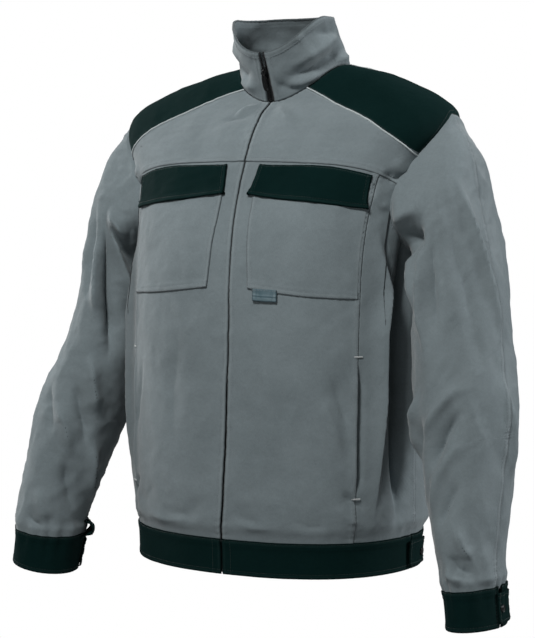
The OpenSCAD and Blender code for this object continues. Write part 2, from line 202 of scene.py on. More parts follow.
def folds(a, t, creases, mm_per_degree, heights):
    """Sum of creases.  Each is (height, width before, width after, line),
    a bump exp(-(d/width)^1.35) beside the broken line through (a, t) points,
    with its own width on each side, and it fades out towards both ends."""
    total = np.zeros(np.broadcast(a, t).shape)
    rows = np.arange(len(heights))
    y = np.interp(t, rows, heights)
    for height, before, after, line in creases:
        line = np.array(line, float)
        middle = line[:, 0].mean()
        x = ((a - middle + 180) % 360 - 180) * mm_per_degree
        px = (line[:, 0] - middle) * mm_per_degree
        py = np.interp(line[:, 1], rows, heights)
        lengths = np.hypot(np.diff(px), np.diff(py))
        ends = np.concatenate([[0], np.cumsum(lengths)])
        far = np.full(total.shape, 1e6)
        turn = np.ones(total.shape)
        run = np.zeros(total.shape)
        for k, length in enumerate(lengths):
            ex, ey = (px[k + 1] - px[k]) / length, (py[k + 1] - py[k]) / length
            s = np.clip((x - px[k]) * ex + (y - py[k]) * ey, 0, length)
            dx, dy = x - px[k] - s * ex, y - py[k] - s * ey
            d = np.hypot(dx, dy)
            closer = d < far
            far = np.where(closer, d, far)
            turn = np.where(closer, ex * dy - ey * dx, turn)
            run = np.where(closer, ends[k] + s, run)
        side = smooth(turn / (0.5 * (before + after)) + 0.5)
        width = after + (before - after) * side
        fade = smooth(run / (0.38 * ends[-1])) * smooth((ends[-1] - run) / (0.38 * ends[-1]))
        total += height * fade * np.exp(-(far / width)**1.35)
    return total


def ripple(p, seed, wavelength, upright):
    """Soft random unevenness of about -1 to 1: a sum of eight sine waves
    through space with random directions; upright squeezes them sideways."""
    draw = np.random.default_rng(seed)
    total = np.zeros(p.shape[:-1])
    for _ in range(8):
        way = draw.normal(size=3) * np.array([1, 1, 1 / upright])
        way *= 2 * np.pi / (wavelength * draw.uniform(0.6, 1.5)) / np.linalg.norm(way)
        total += np.sin(p @ way + draw.uniform(0, 2 * np.pi)
                        + 0.8 * np.sin(p @ way[[1, 2, 0]] * 0.6))
    return total / 3.2


def ridged(r):
    """Turns a smooth ripple into creases: a rounded |r|, sharp where r is 0."""
    return np.sqrt(r * r + 0.012) - 0.5


BODY_CREASES = [
    # the ridge down beside each hand pocket, and the cloth falling back behind it
    (6.5, 6, 13, [(56, 5.5), (61, 4.9), (66, 4.4), (63.5, 3.9), (64, 3.3), (62, 2.2), (60, 1.2)]),
    (-19, 13, 17, [(74, 5.6), (78, 4.6), (77, 3.9), (78, 3.2), (77, 2.2), (74, 1.0)]),
    (6.0, 15, 7, [(-57, 5.4), (-63, 4.6), (-65, 3.8), (-62, 2.6), (-60, 1.3)]),
    (-10, 8, 16, [(-73, 5.2), (-77, 4.3), (-76, 3.2), (-73, 1.4)]),
    # drag lines from the armholes
    (2.4, 5, 4, [(54, 6.32), (62, 6.16), (71, 6.1)]),
    (-2.0, 5, 4, [(53, 6.2), (60, 6.02), (68, 5.98)]),
    (1.6, 6, 5, [(50, 5.9), (57, 5.6), (64, 5.5)]),
    (2.0, 5, 4, [(-54, 6.3), (-62, 6.12), (-70, 6.1)]),
    (-1.8, 5, 5, [(-50, 6.15), (-60, 5.95), (-67, 5.9)]),
    (2.2, 9, 7, [(84, 4.7), (78, 4.0), (80, 3.0)]),
    # pocket mouths and the cloth round them
    (-1.8, 5, 4, [(46, 2.25), (51, 2.12), (57, 1.85)]),
    (1.3, 5, 5, [(43, 2.05), (49, 1.85), (55, 1.6)]),
    (-1.7, 6, 5, [(42, 3.5), (47, 3.1), (50, 2.8)]),
    (1.5, 5, 5, [(38, 3.3), (44, 2.9), (48, 2.6)]),
    (-1.5, 6, 5, [(-42, 3.6), (-47, 3.1), (-50, 2.7)]),
    (-1.8, 6, 6, [(-44, 2.3), (-51, 2.05), (-58, 1.8)]),
    # dents above the hem band
    (-1.2, 10, 8, [(3, 2.0), (10, 1.74), (19, 1.7)]),
    (0.9, 9, 7, [(5, 1.75), (13, 1.5), (24, 1.52)]),
    (-1.0, 10, 8, [(26, 1.9), (34, 1.6), (44, 1.62)]),
    (-1.1, 10, 8, [(-5, 2.05), (-14, 1.75), (-26, 1.7)]),
    (0.8, 9, 7, [(-12, 1.6), (-24, 1.45), (-38, 1.6)]),
    (-0.9, 11, 9, [(-30, 2.2), (-38, 1.9), (-46, 1.95)]),
    (1.4, 12, 10, [(16, 3.9), (20, 3.2), (24, 2.4)]),
    (-1.6, 14, 12, [(-18, 4.0), (-22, 3.2), (-20, 2.4)]),
    # a small bulge under the collar on the wearer's right
    (2.6, 7, 7, [(-6, 8.75), (-11, 8.45), (-17, 8.2)]),
    (-1.8, 6, 6, [(-4, 8.4), (-12, 8.0), (-20, 7.8)]),
    (1.5, 9, 8, [(8, 8.6), (14, 8.1), (18, 7.5)]),
    # the back: soft hanging folds below the yoke, and drag to the armholes
    (4.0, 20, 14, [(150, 5.7), (152, 4.4), (148, 2.6), (146, 1.3)]),
    (-3.5, 16, 20, [(165, 5.6), (166, 4.2), (162, 2.4)]),
    (4.0, 16, 20, [(206, 5.7), (204, 4.2), (208, 2.6), (210, 1.3)]),
    (-3.0, 20, 16, [(192, 5.0), (190, 3.6), (194, 2.0)]),
    (3.0, 12, 9, [(120, 5.9), (128, 5.1), (131, 4.0), (128, 2.2)]),
    (3.0, 9, 12, [(240, 5.9), (233, 5.1), (229, 4.0), (232, 2.2)]),
    (-4.0, 14, 12, [(104, 5.2), (112, 4.2), (116, 3.0)]),
    (-4.0, 12, 14, [(256, 5.2), (248, 4.2), (244, 3.0)]),
    (-2.2, 10, 8, [(140, 2.3), (156, 1.9), (172, 2.1)]),
    (-2.2, 10, 8, [(190, 2.1), (206, 1.85), (220, 2.2)]),
]


# The listed creases are drawn this many times as high, part by part.
BODY_RISE, COLLAR_RISE, SLEEVE_RISE = 2.6, 3.0, {1: 3.8, -1: 2.6}


def body_lift(a, t, p):
    """How far the cloth stands off the body form, in mm: creases, random
    unevenness, and cloth that blouses and gathers over the hem band."""
    back = smooth((np.abs((a + 180) % 360 - 180) - 60) / 60)
    calm = smooth((9 - t) / 0.9)
    firm = 0.3 + 0.7 * smooth((t - 0.9) / 0.7)
    lift = BODY_RISE * folds(a, t, BODY_CREASES, 3.5, BODY[:, 0])
    lift += 1.1 * ripple(p, 3, 130, 2.6) - 0.9 * ridged(ripple(p, 4, 75, 2.8))
    lift += 0.3 - 0.42 * ridged(ripple(p, 5, 34, 1.3)) + 0.14 * ripple(p, 6, 15, 1.1)
    above = (t - 1) * 45
    lift += (2.2 + 3.2 * back) * np.exp(-((above - 20) / 17)**2)
    pleat = np.sin(np.radians(a) * 38 + 1.5 * np.sin(np.radians(a) * 9))
    lift += (0.5 + 1.0 * back) * pleat * np.exp(-(above / 20)**2) * smooth(above / 4 + 1)
    return lift * calm * firm


def body_cloth(a, t):
    """The draped body surface in mm."""
    p = body_form(a, t)
    return p + facing(body_form, a, t) * body_lift(a, t, p)[..., None]


def marks(length, step, fine, border=9.0):
    """Places from 0 to 1 along an edge: fine steps near both ends, where
    seams and stitches are, and wider steps between."""
    if length < 3 * border:
        return np.linspace(0, 1, int(np.ceil(length / fine)) + 1)
    end = np.linspace(0, border, int(np.ceil(border / fine)) + 1)
    inner = np.linspace(border, length - border, int(np.ceil((length - 2 * border) / step)) + 1)
    return np.concatenate([end, inner[1:-1], (length - end)[::-1]]) / length


def along(points, u):
    """The smooth line through some points, u running from 0 to 1."""
    points = np.array(points, float)
    if len(points) == 2:
        return points[0] + (points[1] - points[0]) * u[..., None]
    return rows_at(points, u * (len(points) - 1))


def patch(lines, u, v):
    """Coons patch: the grid inside four boundary lines (bottom, top, left,
    right), being both blends of opposite lines less that of the corners."""
    bottom, top, left, right = lines
    b, t = along(bottom, u)[:, None], along(top, u)[:, None]
    l, r = along(left, v)[None], along(right, v)[None]
    u, v = u[:, None, None], v[None, :, None]
    c = [np.array(x, float) for x in (bottom[0], bottom[-1], top[0], top[-1])]
    return ((1 - v) * b + v * t + (1 - u) * l + u * r - (1 - u) * (1 - v) * c[0]
            - u * (1 - v) * c[1] - (1 - u) * v * c[2] - u * v * c[3])


def run_lengths(p, axis):
    """Distance travelled along one grid direction, and the whole length."""
    steps = np.linalg.norm(np.diff(p, axis=axis), axis=-1)
    total = np.cumsum(steps, axis=axis)
    start = np.zeros_like(np.take(total, [0], axis=axis))
    total = np.concatenate([start, total], axis=axis)
    return total, np.take(total, [-1], axis=axis)


def edge_relief(kind, d, s):
    """Height of a sewn edge, d mm in from it and s mm along it.  A seam dips
    where two pieces meet; an over edge is folded, lies on its neighbour and
    is stitched 1.8 and 6.5 mm in; an under edge goes below; a hem is turned."""
    pucker = 0.28 * np.sin(s * 0.85 + 2 * np.sin(s * 0.13)) * np.exp(-(d / 8)**2)
    if kind == "open":
        return 0 * d
    if kind == "seam":
        return -1.0 * np.exp(-(d / 1.6)**2) + pucker
    if kind == "under":
        return -1.5 * (1 - smooth(d / 4.5)) + pucker
    if kind == "over":
        return (0.75 * (1 - smooth((d - 7) / 4)) - 0.8 * np.exp(-(d / 0.8)**2)
                - 0.38 * np.exp(-((d - 1.8) / 0.7)**2) - 0.42 * np.exp(-((d - 6.5) / 0.8)**2) + pucker)
    return (0.5 * (1 - smooth((d - 6.5) / 3)) - 0.7 * np.exp(-(d / 0.9)**2)
            - 0.4 * np.exp(-((d - 5.5) / 0.8)**2) + 0.6 * pucker)


def stitches(p, n, pitch=3.6, length=2.7, thick=0.26):
    """A row of short thread loops along a line p with normals n: each is a
    four-sided rod in five rings whose ends dip into the cloth."""
    run = np.concatenate([[0], np.cumsum(np.linalg.norm(np.diff(p, axis=0), axis=1))])
    count = max(1, int(run[-1] / pitch))
    places = (np.arange(count) + 0.5) * run[-1] / count
    pick = lambda q, s: np.stack([np.interp(s, run, q[:, k]) for k in range(3)], -1)
    middle, normal = pick(p, places), unit(pick(n, places))
    forward = unit(pick(p, places + 0.8) - pick(p, places - 0.8))
    sideways = unit(np.cross(normal, forward))
    rings = np.array([[-0.5, -1.3, 0.5], [-0.4, 0.3, 1], [0, 0.75, 1], [0.4, 0.3, 1], [0.5, -1.3, 0.5]])
    corner = np.radians([45, 135, 225, 315])
    shape = np.array([[x * length, r * thick * np.cos(c), (z + r * np.sin(c)) * thick]
                      for x, z, r in rings for c in corner])
    points = (middle[:, None] + shape[None, :, :1] * forward[:, None]
              + shape[None, :, 1:2] * sideways[:, None] + shape[None, :, 2:] * normal[:, None])
    one = np.array([[i * 4 + j, (i + 1) * 4 + j, (i + 1) * 4 + (j + 1) % 4, i * 4 + (j + 1) % 4]
                    for i in range(4) for j in range(4)] + [[0, 1, 2, 3], [19, 18, 17, 16]])
    quads = (one[None] + 20 * np.arange(count)[:, None, None]).reshape(-1, 4)
    points = points.reshape(-1, 3)
    return [points, quads, points[:, :2] / 1000, np.zeros(len(points)), 2]


def inset_line(p, n, edge, distance):
    """The line a given distance in from one edge of a grid, with normals."""
    if edge in ("left", "right"):
        p, n = p.swapaxes(0, 1), n.swapaxes(0, 1)
    if edge in ("top", "right"):
        p, n = p[:, ::-1], n[:, ::-1]
    run, whole = run_lengths(p, 1)
    k = np.clip((run < distance).sum(1) - 1, 0, p.shape[1] - 2)
    rows = np.arange(len(p))
    f = ((distance - run[rows, k]) / (run[rows, k + 1] - run[rows, k]))[:, None]
    return p[rows, k] * (1 - f) + p[rows, k + 1] * f, unit(n[rows, k] * (1 - f) + n[rows, k + 1] * f)


def shell(outer, normal, thick, flip, wear_and_seam_shade):
    """A closed thin shell: the outer grid, the same grid set in by the
    thickness, and a rounded rim of half-way points round the border.  The
    last argument is above 0 where cloth is rubbed pale, and below 0 where
    painted shade darkens the crevice of a seam."""
    m, n = outer.shape[:2]
    inner = outer - normal * thick
    index = np.arange(m * n).reshape(m, n)
    quad = np.stack([index[:-1, :-1], index[1:, :-1], index[1:, 1:], index[:-1, 1:]], -1).reshape(-1, 4)
    if flip:
        quad = quad[:, ::-1]
    border = np.concatenate([index[:-1, 0], index[-1, :-1], index[:0:-1, -1], index[0, :0:-1]])
    i, j = border // n, border % n
    inside = outer[np.clip(i, 1, m - 2), np.clip(j, 1, n - 2)]
    middle = (outer[i, j] + inner[i, j]) / 2 + unit(outer[i, j] - inside) * thick * 0.35
    k = len(border)
    ring = 2 * m * n + np.arange(k)
    after = np.roll(np.arange(k), -1)
    rim = np.concatenate([np.stack([border, ring, ring[after], border[after]], -1),
                          np.stack([ring, border + m * n, border[after] + m * n, ring[after]], -1)])
    if flip:
        rim = rim[:, ::-1]
    u, _ = run_lengths(outer, 0)
    v, _ = run_lengths(outer, 1)
    uv = np.stack([u, v], -1).reshape(-1, 2) / 1000
    uv = np.concatenate([uv, uv, uv[border]])
    wear_and_seam_shade = np.concatenate([wear_and_seam_shade.ravel(), wear_and_seam_shade.ravel(), wear_and_seam_shade.ravel()[border]])
    points = np.concatenate([outer.reshape(-1, 3), inner.reshape(-1, 3), middle])
    return [points, np.concatenate([quad, rim]), uv, wear_and_seam_shade, 0], quad[:, ::-1] + m * n


def piece(name, parts, materials):
    """One object from parts, each [points in mm, quads, uv, rubbed wear and
    painted seam shade, material number]; loose parts go into one mesh,
    which sits at the origin."""
    points, quads, uvs, wear_and_seam_shades, numbers, start = [], [], [], [], [], 0
    for p, q, uv, wear_and_seam_shade, number in parts:
        points.append(p)
        quads.append(q + start)
        uvs.append(uv)
        wear_and_seam_shades.append(wear_and_seam_shade)
        numbers.append(np.broadcast_to(number, len(q)))
        start += len(p)
    mesh = bpy.data.meshes.new(name)
    mesh.from_pydata(np.concatenate(points) / 1000, [], np.concatenate(quads))
    corner = np.zeros(len(mesh.loops), int)
    mesh.loops.foreach_get("vertex_index", corner)
    layer = mesh.uv_layers.new(name="cloth")
    layer.data.foreach_set("uv", np.concatenate(uvs)[corner].astype(np.float32).ravel())
    # This attribute carries rubbed wear (above 0) and painted seam shade (below 0).
    rub = mesh.attributes.new("wear_and_seam_shade", "FLOAT", "POINT")
    rub.data.foreach_set("value", np.concatenate(wear_and_seam_shades).astype(np.float32))
    for material in materials:
        mesh.materials.append(material)
    mesh.polygons.foreach_set("material_index", np.concatenate(numbers).astype(np.int32))
    mesh.polygons.foreach_set("use_smooth", np.ones(len(mesh.polygons), bool))
    mesh.set_sharp_from_angle(angle=np.radians(65))
    mesh.update()
    made = bpy.data.objects.new(name, mesh)
    bpy.context.scene.collection.objects.link(made)
    return made


def cloth(name, form, lines, edges, rows, materials, side=1, lift=0.0, thick=0.9,
          step=3.6, fine=1.0, extra=None):
    """A cut piece of cloth on a draped form.  lines bound it, edges say how
    its bottom, top, left and right are sewn, and rows lists its stitching
    as (edge, distance in).  side -1 is a mirrored piece, turned inside out."""
    probe = np.linspace(0, 1, 25)
    rough = form(*np.moveaxis(patch(lines, probe, probe), -1, 0))
    u = marks(run_lengths(rough, 0)[1].max(), step, fine)
    v = marks(run_lengths(rough, 1)[1].max(), step, fine)
    a, t = np.moveaxis(patch(lines, u, v), -1, 0)
    p = form(a, t)
    across, whole_u = run_lengths(p, 0)
    upward, whole_v = run_lengths(p, 1)
    slope = np.cross(np.gradient(p, axis=0), np.gradient(p, axis=1))
    n = unit(slope) * side
    bottom, top, left, right = edges
    relief = (edge_relief(bottom, upward, across) + edge_relief(top, whole_v - upward, across)
              + edge_relief(left, across, upward) + edge_relief(right, whole_u - across, upward))
    near = [np.where(kind == "open", 50.0, d) for kind, d in (
        (bottom, upward), (top, whole_v - upward), (left, across), (right, whole_u - across))]
    near = np.minimum.reduce(near)
    # The positive band about 3 mm in is real rubbed wear; the negative dip right at the edge is painted
    # shade in the seam crevice.
    wear_and_seam_shade = 0.5 * np.exp(-((near - 3.0) / 1.6)**2) - 1.2 * np.exp(-(near / 1.15)**2)
    if extra is not None:
        relief = relief + extra(a, t, across, upward)
    p = p + n * (relief + lift)[..., None]
    n = unit(np.cross(np.gradient(p, axis=0), np.gradient(p, axis=1))) * side
    outside, inside = shell(p, n, thick, side < 0, wear_and_seam_shade)
    parts = [outside, [np.zeros((0, 3)), inside - len(outside[0]), np.zeros((0, 2)), np.zeros(0), 1]]
    for edge, distance in rows:
        parts.append(stitches(*inset_line(p, n, edge, distance)))
    made = piece(name + "_cloth", parts, materials)
    made["cut_width"] = float(np.median(whole_u) / 1000)
    made["cut_length"] = float(np.median(whole_v) / 1000)
    return made


def add(tree, kind, inputs=(), **settings):
    """A shader node with some of its inputs and settings given."""
    node = tree.nodes.new("ShaderNode" + kind)
    for name, value in settings.items():
        setattr(node, name, value)
    for name, value in dict(inputs).items():
        if isinstance(value, bpy.types.NodeSocket):
            tree.links.new(value, node.inputs[name])
        else:
            node.inputs[name].default_value = value
    return node


def sums(tree, *terms):
    """A socket worth the sum of factor times socket, plus plain numbers."""
    total = None
    for factor, socket in terms:
        if total is None:
            node = add(tree, "Math", {0: socket, 1: factor}, operation="MULTIPLY")
        else:
            node = add(tree, "Math", {0: socket, 1: factor, 2: total}, operation="MULTIPLY_ADD")
        total = node.outputs[0]
    return total


def tint(tree, factor, a, b):
    """A mix of two colours, each given as a socket or as red, green, blue."""
    node = add(tree, "Mix", {0: factor}, data_type="RGBA", clamp_factor=True)
    for place, colour in ((6, a), (7, b)):
        if isinstance(colour, bpy.types.NodeSocket):
            tree.links.new(colour, node.inputs[place])
        else:
            node.inputs[place].default_value = (*colour, 1)
    return node.outputs[2]


def woven(name, pale, deep, rub, pitch=1.2, slant=58, depth=0.16, rough=0.9, sheen=0.2,
          sheen_tint=(1, 1, 1, 1), mottle=0.5, fleck=0.55, crumple=0.5, gloss=0.25):
    """Woven cloth.  Slanting twill ridges of that pitch in mm cross finer
    warp threads, fibres are flecked along the warp, the dye is uneven over
    centimetres, folds rub paler along the edges, painted shade darkens the
    seam crevices, and the cloth crumples."""
    material = bpy.data.materials.new(name)
    material.use_nodes = True
    tree = material.node_tree
    surface = tree.nodes["Principled BSDF"]
    place = add(tree, "UVMap", uv_map="cloth").outputs[0]
    solid = add(tree, "TexCoord").outputs["Object"]
    turned = add(tree, "Mapping", {"Vector": place, "Rotation": (0, 0, np.radians(slant))}).outputs[0]
    ridge = add(tree, "TexWave", {"Vector": turned, "Scale": 314 / pitch, "Distortion": 0.6,
                                  "Detail": 1.0, "Detail Scale": 0.3}).outputs["Fac"]
    warp = add(tree, "TexWave", {"Vector": place, "Scale": 314 / (pitch * 0.45), "Distortion": 0.8,
                                 "Detail": 1.0, "Detail Scale": 0.2}).outputs["Fac"]
    stretch = add(tree, "Mapping", {"Vector": place, "Scale": (1900, 420, 1)}).outputs[0]
    fibre = add(tree, "TexNoise", {"Vector": stretch, "Scale": 1.0, "Detail": 3.0}).outputs["Fac"]
    cloud = add(tree, "TexNoise", {"Vector": solid, "Scale": 16.0, "Detail": 4.0,
                                   "Roughness": 0.55}).outputs["Fac"]
    fine = add(tree, "TexNoise", {"Vector": solid, "Scale": 240.0, "Detail": 3.0}).outputs["Fac"]
    soft = add(tree, "TexNoise", {"Vector": solid, "Scale": 85.0, "Detail": 4.0, "Roughness": 0.6,
                                  "Distortion": 0.4}).outputs["Fac"]
    tone = sums(tree, (0.34, ridge), (mottle, cloud), (fleck, fibre), (0.25, fine))
    tone = add(tree, "Math", {0: tone, 1: 0.32 + 0.5 * (mottle + fleck - 1.0)},
               operation="SUBTRACT").outputs[0]
    base = tint(tree, tone, deep, pale)
    # The mesh attribute read here: above 0 mixes in the pale rubbed colour (real wear); below 0 mixes
    # towards a quarter of the deep colour, which is painted shade in the seam crevices.
    worn = add(tree, "Attribute", attribute_name="wear_and_seam_shade").outputs["Fac"]
    patchy = add(tree, "Math", {0: worn, 1: soft}, operation="MULTIPLY", use_clamp=True).outputs[0]
    painted_seam_shade = add(tree, "Math", {0: worn, 1: -0.55}, operation="MULTIPLY", use_clamp=True).outputs[0]
    rubbed = tint(tree, patchy, base, rub)
    tree.links.new(tint(tree, painted_seam_shade, rubbed, [0.25 * c for c in deep]), surface.inputs["Base Color"])
    height = sums(tree, (0.7, ridge), (0.3, warp), (0.5, fibre))
    weave = add(tree, "Bump", {"Height": height, "Strength": 0.55, "Distance": depth / 1000})
    crease = add(tree, "Bump", {"Height": soft, "Strength": crumple, "Distance": 0.0011,
                                "Normal": weave.outputs[0]})
    tree.links.new(crease.outputs[0], surface.inputs["Normal"])
    dull = add(tree, "MapRange", {"Value": tone, "To Min": rough + 0.06, "To Max": rough - 0.06})
    tree.links.new(dull.outputs[0], surface.inputs["Roughness"])
    surface.inputs["Specular IOR Level"].default_value = gloss
    surface.inputs["Sheen Weight"].default_value = sheen
    surface.inputs["Sheen Roughness"].default_value = 0.45
    surface.inputs["Sheen Tint"].default_value = sheen_tint
    return material


grey_twill = woven("grey_twill_cloth", (0.236, 0.282, 0.300), (0.106, 0.134, 0.144), (0.27, 0.31, 0.325))
lining_cloth = woven("lining_cloth", (0.030, 0.040, 0.043), (0.010, 0.015, 0.017), (0.05, 0.06, 0.065),
                     pitch=0.7, slant=0, depth=0.08, rough=0.75, sheen=0.1, gloss=0.35)
grey_thread = woven("grey_thread", (0.27, 0.31, 0.33), (0.15, 0.175, 0.19), (0.3, 0.34, 0.36),
                    pitch=0.5, slant=30, depth=0.1, rough=0.6, mottle=0.2, crumple=0.1)
GREY = [grey_twill, lining_cloth, grey_thread]

SEAM = 52.7            # the panel seam, degrees from the front
SIDE = 89.0            # the side seam
FRONT_LINE = np.array([[0, 0.3], [0.95, 0.2], [1.8, 1.4], [2.56, 2.4], [3.2, 3.1], [3.82, 3.5],
                       [4.43, 3.2], [5.2, 2.0], [5.9, 1.0], [6.9, 0.6], [8.0, 0.3], [9, 0.2]])


def front_edge(t, side, half_gap):
    """Where a front edge lies, in degrees: the fronts meet on a line that
    wanders a little to the wearer's left at the stomach."""
    return np.interp(t, FRONT_LINE[:, 0], FRONT_LINE[:, 1]) + side * half_gap


def yoke_seam(a):
    """Height row of the yoke seam, lower towards the armholes."""
    return 6.65 - 0.45 * (np.asarray(a) / 50)**2


def points(a, t):
    """A list of (a, t) points from two arrays."""
    a, t = np.broadcast_arrays(np.asarray(a, float), np.asarray(t, float))
    return list(zip(a.ravel().tolist(), t.ravel().tolist()))


def mouth(t):
    """1 along the open mouth of the slit hand pockets, 0 past its ends."""
    return smooth((t - 2.2) / 0.25) * smooth((3.62 - t) / 0.25)


SIDES = ((1, "left"), (-1, "right"))


def mirrored(lines, side):
    """Pattern lines, moved to one side of the jacket."""
    return [[(side * a, t) for a, t in line] for line in lines]


def off_front_edge(lines, side):
    """The same for lines that are measured from the front edge."""
    return [[(side * a + np.interp(t, FRONT_LINE[:, 0], FRONT_LINE[:, 1]), t) for a, t in line]
            for line in lines]
for side, hand in SIDES:
    down = np.linspace(0.9, 6.68, 15)
    top = np.linspace(0, 1, 9)
    inner = front_edge(6.68, side, 0.18)
    across = inner + (side * SEAM - inner) * top
    start = front_edge(0.9, side, 0.38)
    lines = (points(start + (side * SEAM - start) * top, 0.9), points(across, yoke_seam(across) + 0.03),
             points(front_edge(down, side, 0.18 + 0.2 * smooth((4.6 - down) / 2)), down),
             points(side * SEAM, np.linspace(0.9, float(yoke_seam(SEAM)) + 0.03, 15)))
    lines[2][-1] = lines[1][0]
    front = cloth(
        "front_panel_" + hand, body_cloth, lines, ("under", "under", "over", "over"),
        [("left", 6.5), ("right", 1.8), ("right", 6.5)], GREY, side, lift=0.4,
        extra=lambda a, t, u, v: 2.2 * mouth(t) * np.exp(-((np.abs(a) - SEAM) * 3.4 / 9)**2))
    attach(front, "body")
    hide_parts("front_panel_" + hand)

# Side panels.  One piece on each side from the panel seam to the side seam,
# cut away at the top for the armhole.  The hand pocket opens in its front
# edge, where it drops behind the front panel.


def armhole(f):
    """The armhole on the body's own grid: f = 0 at the shoulder, 90 in
    front, 180 under the arm."""
    s, c = np.sin(np.radians(f)), np.cos(np.radians(f))
    return 92 - 29 * s * (1 - 0.3 * c), 5.95 + 1.05 * c


for side, hand in SIDES:
    a, t = armhole(np.arange(105, 181, 15.0))
    low, high = SEAM - 0.9, float(yoke_seam(SEAM)) + 0.02
    top = ([(low, high + 0.01), (58, float(yoke_seam(58)) + 0.02), (63.2, 5.93)]
           + points(a, t) + [(SIDE + 0.6, 4.905)])
    lines = (points(np.linspace(low, SIDE, 6), 0.9), top,
             points(low, np.linspace(0.9, high + 0.01, 3)), [(SIDE, 0.9), (SIDE + 0.6, 4.905)])
    lines = mirrored(lines, side)
    panel = cloth(
        "side_panel_" + hand, body_cloth, lines, ("under", "seam", "under", "over"),
        [("right", 1.8), ("right", 6.5), ("top", 5.5)], GREY, side,
        extra=lambda a, t, u, v: -4.5 * mouth(t) * (1 - smooth((np.abs(a) - SEAM) * 3.4 / 14)))
    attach(panel, "body")
    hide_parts("side_panel_" + hand)

# Back panel.  The widest piece, from side seam to side seam below the back
# yoke.  It tucks under the side panels, the yoke and the hem band.
a, t = armhole(np.arange(195, 271, 15.0))
blade = np.linspace(0, 1, 7)
blade_line = points(121 + 59 * blade, 5.95 + 0.4 * np.sin(np.radians(90 * blade)))
half = [(SIDE - 0.9, 4.9)] + points(a, t) + [(x, y + 0.03) for x, y in blade_line[1:]]
top = half + [(360 - x, y) for x, y in half[-2::-1]]
back = cloth("back_panel", body_cloth,
             (points(np.linspace(SIDE - 0.9, 360.9 - SIDE, 13), 0.9), top,
              [(SIDE - 0.9, 0.9), (SIDE - 0.9, 4.9)], [(360.9 - SIDE, 0.9), (360.9 - SIDE, 4.9)]),
             ("under", "seam", "under", "under"), [], GREY, step=4.2)
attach(back, "body")
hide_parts("back_panel")

# Hem band.  A 50 mm band of near-black green twill, folded double, closes
# the bottom edge.  It is stitched along its top, and the two ends beside
# the zip are stitched twice.
black_twill = woven("black_twill_cloth", (0.0030, 0.0178, 0.0172), (0.0005, 0.0072, 0.0068),
                    (0.014, 0.032, 0.031), pitch=1.15, rough=0.9, sheen=0.015,
                    sheen_tint=(0.4, 0.95, 0.93, 1), crumple=0.45, gloss=0.06)
black_thread = woven("black_thread", (0.020, 0.034, 0.033), (0.008, 0.015, 0.015), (0.03, 0.04, 0.04),
                     pitch=0.5, slant=30, depth=0.1, rough=0.55, mottle=0.2, crumple=0.1)
BLACK = [black_twill, lining_cloth, black_thread]
DOUBLE = [black_twill, black_twill, black_thread]
for side, hand in SIDES:
    start = front_edge(0.5, side, 0.34)
    around = start + (side * SIDE - start) * np.linspace(0, 1, 7)
    lines = (points(around, 0.0), points(around, 1.0),
             [(start, 0.0), (start, 1.0)], [(side * SIDE, 0.0), (side * SIDE, 1.0)])
    band = cloth("hem_band_front_" + hand, body_cloth, lines, ("hem", "over", "hem", "seam"),
                 [("top", 1.8), ("left", 12.5), ("bottom", 6)], DOUBLE, side, lift=1.4, thick=2.2, step=3)
    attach(band, "body")
    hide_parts("hem_band_front_" + hand)
around = np.linspace(SIDE, 360 - SIDE, 13)
band = cloth("hem_band_back", body_cloth,
             (points(around, 0.0), points(around, 1.0), [(SIDE, 0.0), (SIDE, 1.0)],
              [(360 - SIDE, 0.0), (360 - SIDE, 1.0)]),
             ("hem", "over", "seam", "seam"), [("top", 1.8), ("bottom", 6)], DOUBLE, lift=1.4,
             thick=2.2, step=3.4)
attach(band, "body")
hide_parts("hem_band_back")

# Yokes.  The front yokes run from the neck to the flapped pockets and are
# folded over the front panels with two rows of stitching.  The back yoke
# does the same across the shoulder blades.
PIPE = [(70, 6.32), (64, 6.42), (58.5, 6.55), (52, 6.74), (46, 7.0),
        (43, 7.3), (41.5, 7.6), (40, 8.0), (38.8, 8.4), (37.5, 9)]
PIPE_BACK = [(111, 6.5), (118, 6.62), (124, 6.8), (130, 7.05), (134, 7.3),
             (137, 7.6), (139.5, 8.0), (141, 8.4), (142.5, 9)]
for side, hand in SIDES:
    up = np.linspace(0, 1, 9)
    inner = front_edge(6.62, side, 0.18)
    across = inner + (side * 65 - inner) * np.linspace(0, 1, 9)
    climb = 6.62 + (9 - 6.62) * up
    edge = points(front_edge(climb, side, 0.18 + 0.85 * up**2), climb)
    right = [(side * 65, float(yoke_seam(65)) - 0.025)] + [(side * a, t) for a, t in PIPE]
    lines = (points(across, yoke_seam(across) - 0.025),
             points(np.linspace(edge[-1][0], side * 37.5, 5), 9.0), edge, right)
    lines[2][0] = lines[0][0]
    yoke = cloth("front_yoke_" + hand, body_cloth, lines, ("over", "seam", "over", "seam"),
                 [("bottom", 1.8), ("bottom", 6.5), ("left", 6.5)], GREY, side, lift=0.9)
    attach(yoke, "body")
    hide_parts("front_yoke_" + hand)
left = [(121, 5.93), (116.5, 6.2)] + PIPE_BACK
yoke = cloth("back_yoke", body_cloth,
             ([(x, y - 0.02) for x, y in blade_line] + [(360 - x, y - 0.02) for x, y in blade_line[-2::-1]],
              points(np.linspace(142.5, 217.5, 6), 9.0), left, [(360 - a, t) for a, t in left]),
             ("over", "seam", "seam", "seam"), [("bottom", 1.8), ("bottom", 6.5)], GREY, lift=0.9)
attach(yoke, "body")
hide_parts("back_yoke")

